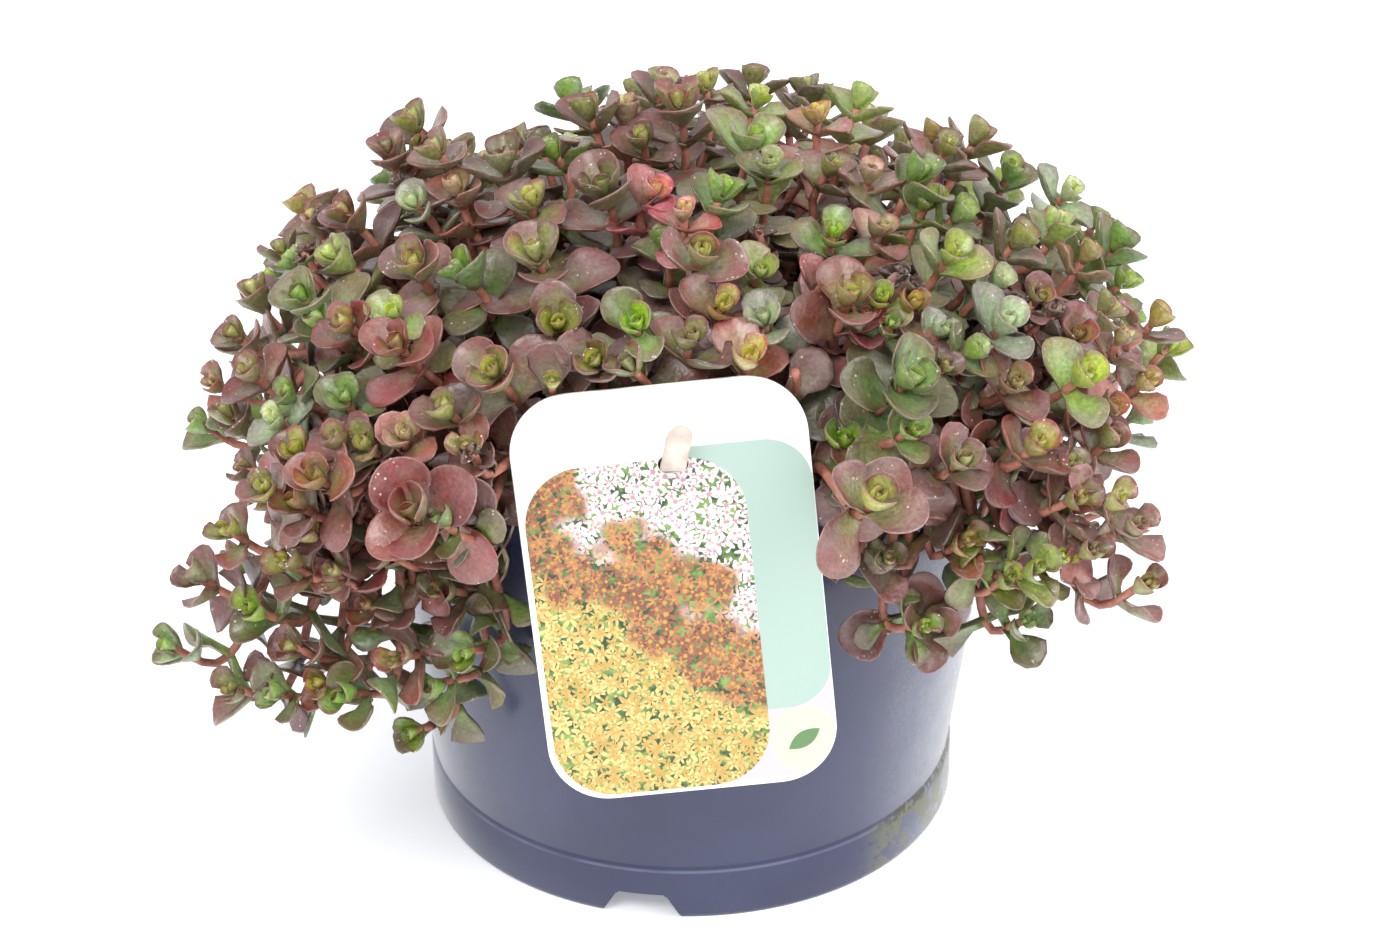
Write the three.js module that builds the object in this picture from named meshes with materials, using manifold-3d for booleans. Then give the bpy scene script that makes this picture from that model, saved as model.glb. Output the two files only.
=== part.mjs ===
// Potted sedum makinoi: a nursery pot, its soil, leafy stems, and a plant label on a hook.
// Millimetres, +Z up. The origin is on the pot's axis, at the level the pot stands on,
// and the front, where the label hangs, faces -Y.
import * as THREE from 'three';
import { mergeVertices } from 'three/addons/utils/BufferGeometryUtils.js';
import Module from 'manifold-3d';

const wasm = await Module();
wasm.setup();

// Clearance between neighbouring pieces
const GAP = 0.3;

// Pot
const POT_HEIGHT = 95.5;
const RIM_RADIUS = 65;
const RIM_HEIGHT = 7;
const LIP_WIDTH = 2.5;
const BASE_RADIUS = 51.6;
const WALL = 1.6;
const LEDGE_Z = 10.3;
const LEDGE_DEPTH = 0.6;
const NECK_RADIUS = 62.4;
const PAD_RADIUS = 16;
const FLOOR_UNDERSIDE = 3.5;
const FLOOR_TOP = 6.5;
const FOOT_WIDTH = 2.6;
const POT_SIDES = 44;
const DRAIN_HOLES = 6;
const DRAIN_RADIUS = 4;
const DRAIN_RING = 33;
const NOTCHES = 3;
const NOTCH_WIDTH_LOW = 14.5;
const NOTCH_WIDTH_HIGH = 10;
const NOTCH_HEIGHT = 5;
const NOTCH_TURN = -11;

// Soil
const SOIL_Z = 87;
const SOIL_EDGE_DROP = 1.5;
const SOIL_SIDES = 24;

// Stems and leaves
const STEM_RADIUS = 1.5;
const STEM_TAPER = 0.3;
const STEM_STEP = 14;
const HANGING_STEP = 8;
const HOLE_RADIUS = 2;
const FOOT_HEIGHT = 1.2;
const STEM_SLIP = 0.5;
const ROOT_DEPTH = 6;
const ROOT_RADIUS = 53;
const LEAF_WIDTH = 0.84;
const LEAF_THICKNESS = 1.1;
// Leaves are drawn larger than life by this share, so that they cover the mound
const COVER = 1.4;

// A leaf's rim: shares of its length along, of its half width across, of its length up
const LEAF_RIM = [
  [0.34, 0.52, 0.04],
  [0.7, 1, 0.12],
  [0.97, 0.5, 0.15],
];

// Mound of shoot tips: an ellipsoid over the pot
const MOUND_RADIUS = 91;
const MOUND_RISE = 50;
const MOUND_Z = 88;
const SHOOT_COUNT = 56;
const SHOOT_SPACING = 29;
const FILL_STEPS = 300;
const FILL_TOP = 0.97;
const FILL_LOW = -0.62;
const GOLDEN_ANGLE = 137.508;
// Hollows in the mound's back: where the middle lies, how deep it is, and its half width
const HOLLOWS = [
  { x: -32, y: 38, depth: 14, width: 15 },
  { x: 52, y: 48, depth: 9, width: 13 },
];

// The place that the seen shoots are read from, and how its level and turn stand
const EYE = new THREE.Vector3(0, -513, 337.5);
const VIEW_DOWN = 27.67;
const VIEW_TURN = 0.29;
const VIEW_ROLL = -0.86;

// Label and hook
const LABEL_WIDTH = 50.5;
const LABEL_HEIGHT = 75;
const LABEL_THICKNESS = 0.8;
const LABEL_CORNER = 10.5;
const LABEL_CENTRE = new THREE.Vector3(-2.2, -67.9, 79.9);
const LABEL_LEAN = 8;
const LABEL_TURN = 5;
const SLOT_RIGHT = 2;
const SLOT_BELOW_TOP = 14.2;
const SLOT_WIDTH = 5.2;
const SLOT_HEIGHT = 3;
const HOOK_WIDTH = 4.4;
const HOOK_THICKNESS = 1;

// Shoots seen from the front: tint, mm across and mm up in that view from the middle of
// the rim, and the length of the largest leaf. The tip is on the mound, or, where a last
// number is given, that far from the pot's axis.
const SEEN_SHOOTS = [
  ['bronze', -53, 35, 10],
  ['red', -64, 24, 9],
  ['bronze', -34, 33, 11],
  ['green', -72, 8, 10.5],
  ['bronze', -51, 14, 10],
  ['bronze', -28, 16, 12],
  ['red', -54, -1, 10],
  ['red', -82, -6, 9],
  ['bronze', -36, -6, 11],
  ['green', -92, -16, 8],
  ['bronze', -15, 28, 11.5],
  ['bronze', -18, 43, 9.5],
  ['bronze', -1, 44, 11],
  ['green', 13, 37, 12],
  ['bronze', 3, 16, 10.5],
  ['green', -9, 3, 9],
  ['lime', 33, 45, 10],
  ['green', 44, 31, 10.5],
  ['bronze', 55, 38, 10],
  ['lime', 50, 16, 9.5],
  ['green', 82, 18, 10.5],
  ['red', 89, 4, 8.5],
  ['red', 31, 8, 10],
  ['mint', 60, 3, 10],
  ['green', 42, -8, 12],
  ['lime', 75, -7, 10],
  ['bronze', 36, -30, 11.5],
  ['red', -51, -33, 12],
  ['orange', -69, -26, 10],
  ['green', 30, -19, 9.5, 66],
  ['green', -97, -58, 9.5, 105],
  ['green', -81, -51, 10, 95],
  ['green', -64, -67, 9.5, 88],
  ['green', -41, -59, 9.5, 76],
  ['bronze', 46, -53, 11.5, 77],
  ['lime', 66, -43, 10, 90],
  ['bronze', 81, -30, 9.5, 97],
  ['bronze', 87, -46, 9, 103],
  ['red', 66, -20, 9.5],
  ['bronze', 80, -19, 9.5],
];

// Pairs of leaves on a stem: distance below the tip, length as a share of the
// largest leaf, and angle from the stem.
const PAIRS = [
  { below: 0.8, length: 0.55, angle: 28 },
  { below: 3, length: 0.9, angle: 52 },
  { below: 6.5, length: 1, angle: 72 },
  { below: 13, length: 0.9, angle: 84 },
];
const HANGING_PAIR_STEP = 9;
const HANGING_PAIRS = 3;
const BARE_STEM = 24;

const TINTS = {
  bronze: 0x5d3f37,
  red: 0x8f4038,
  orange: 0x9a5436,
  green: 0x5a7a35,
  lime: 0x7f9a3c,
  mint: 0x8aa581,
};

const UP = new THREE.Vector3(0, 0, 1);
const RIGHT = new THREE.Vector3(1, 0, 0);
const rad = THREE.MathUtils.degToRad;

function randomFrom(index) {
  let state = Math.imul(index + 1, 2654435761) >>> 0;
  return () => {
    state = (Math.imul(state, 1664525) + 1013904223) >>> 0;
    return state / 4294967296;
  };
}

function solidOf(geometry) {
  const bare = geometry.clone();
  bare.deleteAttribute('normal');
  bare.deleteAttribute('uv');
  const merged = mergeVertices(bare, 1e-4);
  const mesh = new wasm.Mesh({
    numProp: 3,
    vertProperties: new Float32Array(merged.attributes.position.array),
    triVerts: new Uint32Array(merged.index.array),
  });
  return new wasm.Manifold(mesh);
}

function geometryOf(solid) {
  const mesh = solid.getMesh();
  const geometry = new THREE.BufferGeometry();
  geometry.setAttribute('position', new THREE.BufferAttribute(mesh.vertProperties, 3));
  geometry.setIndex(new THREE.BufferAttribute(mesh.triVerts, 1));
  return geometry;
}

// A solid with its box, to test others against
function obstacle(solid) {
  const { min, max } = solid.boundingBox();
  const box = new THREE.Box3(new THREE.Vector3(...min), new THREE.Vector3(...max));
  return { solid, box };
}

// A turned solid: the profile's points are [radius, height], from the axis back to it
function turned(profile, sides) {
  const points = profile.map(([radius, height]) => new THREE.Vector2(radius, height));
  return solidOf(new THREE.LatheGeometry(points, sides).rotateX(Math.PI / 2));
}

function potSolid() {
  const inner = POT_HEIGHT - RIM_HEIGHT;
  const profile = [
    [0, 0],
    [PAD_RADIUS, 0],
    [PAD_RADIUS + 3, FLOOR_UNDERSIDE],
    [BASE_RADIUS - FOOT_WIDTH, FLOOR_UNDERSIDE],
    [BASE_RADIUS - FOOT_WIDTH + 0.6, 0],
    [BASE_RADIUS + 0.2, 0],
    [BASE_RADIUS + LEDGE_DEPTH, 1],
    [BASE_RADIUS + LEDGE_DEPTH, LEDGE_Z],
    [BASE_RADIUS, LEDGE_Z + 0.6],
    [NECK_RADIUS, inner],
    [RIM_RADIUS - 0.4, inner + 0.4],
    [RIM_RADIUS, POT_HEIGHT - 0.7],
    [RIM_RADIUS - 0.7, POT_HEIGHT],
    [RIM_RADIUS - LIP_WIDTH, POT_HEIGHT],
    [NECK_RADIUS - WALL, inner - 1],
    [BASE_RADIUS - WALL, FLOOR_TOP + 2],
    [BASE_RADIUS - WALL - 2, FLOOR_TOP],
    [PAD_RADIUS + 1, FLOOR_TOP],
    [PAD_RADIUS - 1, FLOOR_TOP - FLOOR_UNDERSIDE],
    [0, FLOOR_TOP - FLOOR_UNDERSIDE],
  ];
  let pot = turned(profile, POT_SIDES);
  for (let i = 0; i < DRAIN_HOLES; i += 1) {
    pot = pot.subtract(drainHole((i * 360) / DRAIN_HOLES));
  }
  for (let i = 0; i < NOTCHES; i += 1) {
    pot = pot.subtract(footNotch(NOTCH_TURN + (i * 360) / NOTCHES));
  }
  return pot;
}

function drainHole(turn) {
  const hole = new THREE.CylinderGeometry(DRAIN_RADIUS, DRAIN_RADIUS, 3 * FLOOR_TOP, 12);
  hole.rotateX(Math.PI / 2);
  hole.translate(DRAIN_RING, 0, 0);
  hole.rotateZ(rad(turn));
  return solidOf(hole);
}

// A notch in the foot, wider at the bottom, seen from the front when turned by 0
function footNotch(turn) {
  const low = NOTCH_WIDTH_LOW / 2;
  const high = NOTCH_WIDTH_HIGH / 2;
  const shape = new THREE.Shape();
  shape.moveTo(-low - 1, -1);
  shape.lineTo(low + 1, -1);
  shape.lineTo(low - 0.6, 1.6);
  shape.lineTo(high, NOTCH_HEIGHT - 0.6);
  shape.lineTo(high - 0.8, NOTCH_HEIGHT);
  shape.lineTo(-high + 0.8, NOTCH_HEIGHT);
  shape.lineTo(-high, NOTCH_HEIGHT - 0.6);
  shape.lineTo(-low + 0.6, 1.6);
  const notch = new THREE.ExtrudeGeometry(shape, { depth: 8, bevelEnabled: false });
  notch.rotateX(Math.PI / 2);
  notch.translate(0, 4 - BASE_RADIUS, 0);
  notch.rotateZ(rad(turn));
  return solidOf(notch);
}

// The soil fills the pot, level but for its edge, and clear of the wall all round
function soilSolid() {
  const wallAt = (z) => {
    const share = (z - FLOOR_TOP) / (POT_HEIGHT - RIM_HEIGHT - FLOOR_TOP);
    return BASE_RADIUS - WALL + share * (NECK_RADIUS - BASE_RADIUS) - 2 * GAP;
  };
  const profile = [
    [0, FLOOR_TOP + GAP],
    [BASE_RADIUS - WALL - 3, FLOOR_TOP + GAP],
    [wallAt(FLOOR_TOP + 3), FLOOR_TOP + 3],
    [wallAt(SOIL_Z - SOIL_EDGE_DROP), SOIL_Z - SOIL_EDGE_DROP],
    [wallAt(SOIL_Z) - 4, SOIL_Z],
    [0, SOIL_Z],
  ];
  return turned(profile, SOIL_SIDES);
}

// The label's own axes: across to its right, up its face, and out of its back
function labelFrame() {
  const lean = rad(LABEL_LEAN);
  const tall = new THREE.Vector3(0, Math.sin(lean), Math.cos(lean));
  const back = RIGHT.clone().cross(tall).negate();
  const across = RIGHT.clone().applyAxisAngle(back, rad(-LABEL_TURN));
  const up = tall.clone().applyAxisAngle(back, rad(-LABEL_TURN));
  const front = across.clone().cross(up);
  return new THREE.Matrix4().makeBasis(across, up, front).setPosition(LABEL_CENTRE);
}

function roundedRectangle(width, height, corner) {
  const x = width / 2;
  const y = height / 2;
  const shape = new THREE.Shape();
  shape.moveTo(-x + corner, -y);
  shape.lineTo(x - corner, -y);
  shape.absarc(x - corner, -y + corner, corner, -Math.PI / 2, 0);
  shape.lineTo(x, y - corner);
  shape.absarc(x - corner, y - corner, corner, 0, Math.PI / 2);
  shape.lineTo(-x + corner, y);
  shape.absarc(-x + corner, y - corner, corner, Math.PI / 2, Math.PI);
  shape.lineTo(-x, -y + corner);
  shape.absarc(-x + corner, -y + corner, corner, Math.PI, 1.5 * Math.PI);
  return shape;
}

function labelSolid() {
  const shape = roundedRectangle(LABEL_WIDTH, LABEL_HEIGHT, LABEL_CORNER);
  const plate = new THREE.ExtrudeGeometry(shape, {
    depth: LABEL_THICKNESS,
    bevelEnabled: false,
    curveSegments: 8,
  });
  plate.translate(0, 0, -LABEL_THICKNESS / 2);
  const slot = new THREE.BoxGeometry(SLOT_WIDTH, SLOT_HEIGHT, 4);
  slot.translate(SLOT_RIGHT, LABEL_HEIGHT / 2 - SLOT_BELOW_TOP, 0);
  plate.applyMatrix4(labelFrame());
  slot.applyMatrix4(labelFrame());
  return solidOf(plate).subtract(solidOf(slot));
}

// The hook stands in the soil inside the rim, bends over it and through the label's
// slot, and turns up in front of the label in a rounded tongue.
function hookPoints() {
  const slot = new THREE.Vector3(SLOT_RIGHT, LABEL_HEIGHT / 2 - SLOT_BELOW_TOP, 0);
  slot.applyMatrix4(labelFrame());
  const at = (dy, dz, dx = 0) => new THREE.Vector3(slot.x + dx, slot.y + dy, slot.z + dz);
  return [
    at(9, -22),
    at(9, -12),
    at(7.6, -4.5),
    at(3.5, -0.7),
    at(0, 0),
    at(-3.2, 0.8),
    at(-4.2, 3.4, 0.4),
    at(-4.2, 7, 1.1),
  ];
}

function ribbonSection() {
  const shape = new THREE.Shape();
  shape.moveTo(-HOOK_WIDTH / 2, -HOOK_THICKNESS / 2);
  shape.lineTo(HOOK_WIDTH / 2, -HOOK_THICKNESS / 2);
  shape.lineTo(HOOK_WIDTH / 2, HOOK_THICKNESS / 2);
  shape.lineTo(-HOOK_WIDTH / 2, HOOK_THICKNESS / 2);
  return shape;
}

function hookSolid() {
  const points = hookPoints();
  const ribbon = new THREE.ExtrudeGeometry(ribbonSection(), {
    steps: 14,
    bevelEnabled: false,
    extrudePath: new THREE.CatmullRomCurve3(points),
  });
  const end = points.at(-1);
  const tip = new THREE.CylinderGeometry(HOOK_WIDTH / 2, HOOK_WIDTH / 2, HOOK_THICKNESS, 16);
  tip.translate(end.x, end.y, end.z);
  return solidOf(ribbon).add(solidOf(tip));
}

function hookHole() {
  const foot = hookPoints()[0];
  const hole = new THREE.BoxGeometry(HOOK_WIDTH + 2 * GAP, HOOK_THICKNESS + 4 * GAP, 40);
  hole.translate(foot.x, foot.y, foot.z + 20 - GAP);
  return solidOf(hole);
}

// Where the line of sight through a point of the front view first meets the mound,
// or, where it passes by, the mound's edge nearest to it.
function tipOnMound(across, up, lift) {
  const ray = sightLine(across, up);
  const centre = new THREE.Vector3(0, 0, MOUND_Z);
  const shrink = new THREE.Vector3(1 / MOUND_RADIUS, 1 / MOUND_RADIUS, 1 / MOUND_RISE);
  const start = EYE.clone().sub(centre).multiply(shrink);
  const step = ray.clone().multiply(shrink);
  const half = start.dot(step) / step.dot(step);
  const rest = (start.dot(start) - lift * lift) / step.dot(step);
  const root = half * half - rest;
  const reach = -half - Math.sqrt(Math.max(root, 0));
  const point = start.addScaledVector(step, reach).setLength(lift);
  return point.divide(shrink).add(centre);
}

// Where the line of sight through a point of the front view comes this near to the axis
function tipAtReach(across, up, reach) {
  const ray = sightLine(across, up);
  const flat = ray.x * ray.x + ray.y * ray.y;
  const half = (EYE.x * ray.x + EYE.y * ray.y) / flat;
  const rest = (EYE.x * EYE.x + EYE.y * EYE.y - reach * reach) / flat;
  const distance = -half - Math.sqrt(Math.max(half * half - rest, 0));
  return EYE.clone().addScaledVector(ray, distance);
}

function sightLine(across, up) {
  const down = rad(VIEW_DOWN);
  const turn = rad(VIEW_TURN);
  const forward = new THREE.Vector3(
    Math.sin(turn) * Math.cos(down),
    Math.cos(turn) * Math.cos(down),
    -Math.sin(down),
  );
  const right = new THREE.Vector3(Math.cos(turn), -Math.sin(turn), 0);
  const top = right.clone().cross(forward);
  right.applyAxisAngle(forward, rad(-VIEW_ROLL));
  top.applyAxisAngle(forward, rad(-VIEW_ROLL));
  const ray = new THREE.Vector3(0, 0, POT_HEIGHT).sub(EYE);
  return ray.addScaledVector(right, across).addScaledVector(top, up).normalize();
}

// A shoot on the mound leans outwards, half upright by the mound's edge
function moundAxis(tip, random) {
  const axis = new THREE.Vector3(tip.x / MOUND_RADIUS, tip.y / MOUND_RADIUS, 1);
  axis.x += 0.3 * (random() - 0.5);
  axis.y += 0.3 * (random() - 0.5);
  return axis.normalize();
}

// A hanging shoot turns its tip out and up, and less up where it hangs straight down
function hangingAxis(tip, random) {
  const drop = POT_HEIGHT - tip.z - Math.hypot(tip.x, tip.y) + RIM_RADIUS;
  const steep = THREE.MathUtils.clamp(drop / 25, 0, 1);
  const axis = new THREE.Vector3(tip.x, tip.y, 0).setLength(0.8);
  axis.z = 0.55 - 0.5 * steep;
  axis.x += 0.3 * (random() - 0.5);
  axis.y += 0.3 * (random() - 0.5);
  return axis.normalize();
}

// The shoots read from the front, then a spiral over the mound that fills what they leave
function allShoots() {
  const shoots = [];
  for (const [tint, across, up, leaf, reach] of SEEN_SHOOTS) {
    const random = randomFrom(shoots.length);
    const lift = 0.98 + 0.05 * random();
    const tip = reach ? tipAtReach(across, up, reach) : tipOnMound(across, up, lift);
    shoots.push(shootTo(tip, tint, leaf, random));
  }
  fillMound(shoots);
  return shoots;
}

// A shoot whose tip is below the rim hangs over it, with more pairs along its stem
function shootTo(tip, tint, leaf, random) {
  const hangs = tip.z < POT_HEIGHT;
  const axis = hangs ? hangingAxis(tip, random) : moundAxis(tip, random);
  return { tip, tint, leaf, random, hangs, axis };
}

function hollowAt({ x, y }) {
  const depths = HOLLOWS.map((hollow) => {
    const away = Math.hypot(x - hollow.x, y - hollow.y) / hollow.width;
    return hollow.depth * Math.exp(-0.5 * away * away);
  });
  return Math.max(...depths);
}

function fillMound(shoots) {
  const tints = ['bronze', 'green', 'bronze', 'red', 'lime', 'bronze', 'orange'];
  for (let i = 0; i < FILL_STEPS && shoots.length < SHOOT_COUNT; i += 1) {
    const rise = FILL_TOP - ((FILL_TOP - FILL_LOW) * i) / FILL_STEPS;
    const turn = rad(i * GOLDEN_ANGLE);
    const flat = Math.sqrt(1 - rise * rise);
    const tip = new THREE.Vector3(
      MOUND_RADIUS * flat * Math.cos(turn),
      MOUND_RADIUS * flat * Math.sin(turn),
      MOUND_Z + MOUND_RISE * rise,
    );
    tip.z -= hollowAt(tip);
    const crowded = shoots.some((other) => other.tip.distanceTo(tip) < SHOOT_SPACING);
    if (crowded || tip.y < 0) {
      continue;
    }
    const random = randomFrom(shoots.length);
    const leaf = 10 + 1.5 * random();
    shoots.push(shootTo(tip, tints[shoots.length % tints.length], leaf, random));
  }
}

// Changes tried in turn for a stem that would touch a neighbour: mm added to its crest,
// degrees its root is moved round the pot, and share kept of its root's distance.
const STEM_SHIFTS = [0, 3, 7].flatMap((lift) =>
  [0, 7, -7, 14, -14, 21, -21].flatMap((turn) => [1, 0.84, 0.68].map((share) => [lift, turn, share])),
);

// From its hole in the soil a stem stands up, leans out, over the rim where its tip
// is beyond it, and comes to the tip along the shoot's own axis.
function stemCurve(shoot, lift, turn, share) {
  const { tip, axis } = shoot;
  const out = new THREE.Vector3(tip.x, tip.y, 0);
  const reach = out.length();
  out.normalize();
  const rootRadius = share * Math.min(ROOT_RADIUS, (ROOT_RADIUS * reach) / (MOUND_RADIUS - 8));
  const rootOut = out.clone().applyAxisAngle(UP, rad(turn));
  const foot = rootOut.clone().multiplyScalar(rootRadius).setZ(SOIL_Z - ROOT_DEPTH + GAP);
  const collar = foot.clone().setZ(SOIL_Z + 2);
  const away = out.clone().applyAxisAngle(UP, rad(turn / 2));
  const neck = tip.clone().addScaledVector(axis, shoot.hangs ? -11 : -8);
  const bends = [collar];
  if (shoot.hangs) {
    bends.push(away.clone().multiplyScalar(RIM_RADIUS - 7).setZ(POT_HEIGHT + 5 + lift));
    bends.push(away.clone().multiplyScalar(RIM_RADIUS + 5).setZ(POT_HEIGHT + 2 + 0.7 * lift));
  } else if (reach > RIM_RADIUS + 6) {
    const crest = Math.max(POT_HEIGHT + 4, SOIL_Z + 0.62 * (tip.z - SOIL_Z)) + lift;
    bends.push(away.clone().multiplyScalar(RIM_RADIUS - 1).setZ(crest));
  } else {
    const crest = SOIL_Z + 0.55 * (tip.z - SOIL_Z);
    bends.push(away.clone().multiplyScalar(0.5 * (rootRadius + reach)).setZ(crest));
  }
  const curve = new THREE.CurvePath();
  curve.add(new THREE.LineCurve3(foot, collar));
  curve.add(new THREE.CatmullRomCurve3([...bends, neck, tip]));
  return curve;
}

// The rings of four corners that a stem's skin runs through, from the foot to the tip.
// Each pair of leaves opens between two rings of its own.
function stemRings(shoot) {
  const length = shoot.curve.getLength();
  const pairs = pairsOf(shoot);
  const stops = [0, ROOT_DEPTH + 2];
  const bare = length - pairs.at(-1).below - ROOT_DEPTH - 2;
  const steps = Math.max(1, Math.round(bare / (shoot.hangs ? HANGING_STEP : STEM_STEP)));
  for (let i = 1; i < steps; i += 1) {
    stops.push(ROOT_DEPTH + 2 + (i * bare) / steps);
  }
  for (const pair of [...pairs].reverse()) {
    stops.push(length - pair.below - FOOT_HEIGHT / 2, length - pair.below + FOOT_HEIGHT / 2);
  }
  stops.push(length);
  const rings = [];
  const side = RIGHT.clone().applyAxisAngle(UP, rad(shoot.turn));
  const last = UP.clone();
  for (const stop of stops) {
    const point = shoot.curve.getPointAt(stop / length);
    const tangent = shoot.curve.getTangentAt(stop / length);
    side.applyQuaternion(new THREE.Quaternion().setFromUnitVectors(last, tangent));
    last.copy(tangent);
    const radius = STEM_RADIUS * (1 - (STEM_TAPER * stop) / length);
    const second = tangent.clone().cross(side);
    const corners = [45, 135, 225, 315].map((turn) =>
      point
        .clone()
        .addScaledVector(side, radius * Math.cos(rad(turn)))
        .addScaledVector(second, radius * Math.sin(rad(turn))),
    );
    rings.push({ point, tangent, side: side.clone(), second, corners });
  }
  return rings;
}

// The skin of a leafy stem: leaves take the place of the side faces they grow from
function shootGeometry(rings, leaves) {
  const points = rings.flatMap((ring) => ring.corners);
  const triangles = [0, 2, 1, 0, 3, 2];
  for (let ring = 0; ring + 1 < rings.length; ring += 1) {
    for (let face = 0; face < 4; face += 1) {
      const foot = footCorners(ring, face);
      const leaf = leaves.find((each) => each.ring === ring && each.face === face);
      if (leaf) {
        triangles.push(...leafTriangles(foot, points.length));
        points.push(...leaf.points);
      } else {
        const [low, lowNext, highNext, high] = foot;
        triangles.push(low, lowNext, highNext, low, highNext, high);
      }
    }
  }
  const top = 4 * (rings.length - 1);
  triangles.push(top, top + 1, top + 2, top, top + 2, top + 3);
  return skin(points, triangles);
}

// The four corners, in the skin's numbering, of a face between a ring and the next one
function footCorners(ring, face) {
  const start = 4 * ring + ((face + 3) % 4);
  const next = 4 * ring + face;
  return [start, next, next + 4, start + 4];
}

function skin(points, triangles) {
  const flat = points.flatMap((point) => point.toArray());
  const geometry = new THREE.BufferGeometry();
  geometry.setAttribute('position', new THREE.Float32BufferAttribute(flat, 3));
  geometry.setIndex(triangles);
  return geometry;
}

// A spoon-shaped leaf is eight points past its foot: the rim on each side, widest
// towards the blunt end, then the hollow of the upper face and the keel of the lower.
function leafPoints(place, length) {
  const half = (length * LEAF_WIDTH) / 2;
  const rim = LEAF_RIM.map(([along, across, rise]) => [along * length, across * half, rise * length]);
  const left = rim.map(([along, across, rise]) => new THREE.Vector3(along, -across, rise));
  const right = rim.map(([along, across, rise]) => new THREE.Vector3(along, across, rise));
  const hollow = new THREE.Vector3(0.6 * length, 0, 0);
  const keel = new THREE.Vector3(0.56 * length, 0, -LEAF_THICKNESS);
  return [...left, ...right, hollow, keel].map((point) => point.applyMatrix4(place));
}

function leafTriangles([low, lowNext, highNext, high], first) {
  const [left, right, hollow, keel] = [first, first + 3, first + 6, first + 7];
  const upper = [high, left, left + 1, left + 2, right + 2, right + 1, right, highNext];
  const lower = [lowNext, right, right + 1, right + 2, left + 2, left + 1, left, low];
  const triangles = [lowNext, highNext, right, high, low, left];
  for (let i = 0; i < upper.length; i += 1) {
    const next = (i + 1) % upper.length;
    triangles.push(hollow, upper[i], upper[next]);
    triangles.push(keel, lower[i], lower[next]);
  }
  return triangles;
}

// One leaf as a closed solid of its own, to measure how far its neighbours are
function leafSolid(rings, ring, face, points) {
  const corners = [...rings[ring].corners, ...rings[ring + 1].corners];
  const foot = footCorners(0, face);
  const triangles = leafTriangles([0, 1, 2, 3], 4);
  triangles.push(0, 3, 2, 0, 2, 1);
  return solidOf(skin([...foot.map((corner) => corners[corner].clone()), ...points], triangles));
}

// The matrix of a leaf at the middle of its foot: its length along the growth
// direction, its width across, and its hollow face up the stem.
function leafPlace(rings, ring, face, pair, tilt, twist, light) {
  const lower = rings[ring];
  const upper = rings[ring + 1];
  const foot = footCorners(0, face);
  const corners = [...lower.corners, ...upper.corners];
  const middle = new THREE.Vector3();
  foot.forEach((corner) => middle.addScaledVector(corners[corner], 0.25));
  const angle = rad(pair.angle + tilt);
  const turn = rad(90 * face + twist);
  const side = lower.side.clone().multiplyScalar(Math.cos(turn));
  side.addScaledVector(lower.second, Math.sin(turn));
  const along = side.clone().multiplyScalar(Math.sin(angle));
  along.addScaledVector(lower.tangent, Math.cos(angle));
  const up = lower.tangent.clone().multiplyScalar(Math.sin(angle));
  up.addScaledVector(side, -Math.cos(angle));
  up.addScaledVector(UP, light);
  up.addScaledVector(along, -up.dot(along)).normalize();
  const across = up.clone().cross(along);
  return new THREE.Matrix4().makeBasis(along, across, up).setPosition(middle);
}

// Changes tried in turn for a leaf that would touch a neighbour: degrees added to its
// angle, degrees turned round the stem, and share of its length kept.
const LEAF_SHIFTS = [
  [0, 0, 1],
  [-14, 0, 1],
  [12, 0, 1],
  [0, 22, 1],
  [0, -22, 1],
  [-22, 0, 0.9],
  [-10, 22, 0.8],
  [-10, -22, 0.8],
  [-26, 0, 0.7],
  [10, 0, 0.6],
  [-10, 0, 0.5],
];

function pairsOf(shoot) {
  const pairs = [...PAIRS];
  const most = shoot.hangs ? PAIRS.length + HANGING_PAIRS : PAIRS.length;
  const room = shoot.curve.getLength() - BARE_STEM - HANGING_PAIR_STEP;
  while (pairs.length < most && pairs.at(-1).below < room) {
    pairs.push({ below: pairs.at(-1).below + HANGING_PAIR_STEP, length: 0.85, angle: 80 });
  }
  return pairs;
}

function isClear(piece, obstacles, gap = GAP) {
  const near = piece.box.clone().expandByScalar(gap);
  return obstacles.every((other) => {
    const apart = !near.intersectsBox(other.box);
    return apart || piece.solid.minGap(other.solid, gap) > 0.99 * gap;
  });
}

function placeStems(shoots, fixed) {
  const stems = [...fixed];
  for (const shoot of shoots) {
    shoot.turn = 90 * shoot.random();
    for (const [lift, turn, share] of STEM_SHIFTS) {
      shoot.curve = stemCurve(shoot, lift, turn, share);
      const rings = stemRings(shoot);
      const stem = obstacle(solidOf(shootGeometry(rings, [])));
      if (isClear(stem, stems)) {
        shoot.rings = rings;
        shoot.stem = stem;
        stems.push(stem);
        break;
      }
    }
  }
  return shoots.filter((shoot) => shoot.stem);
}

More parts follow.
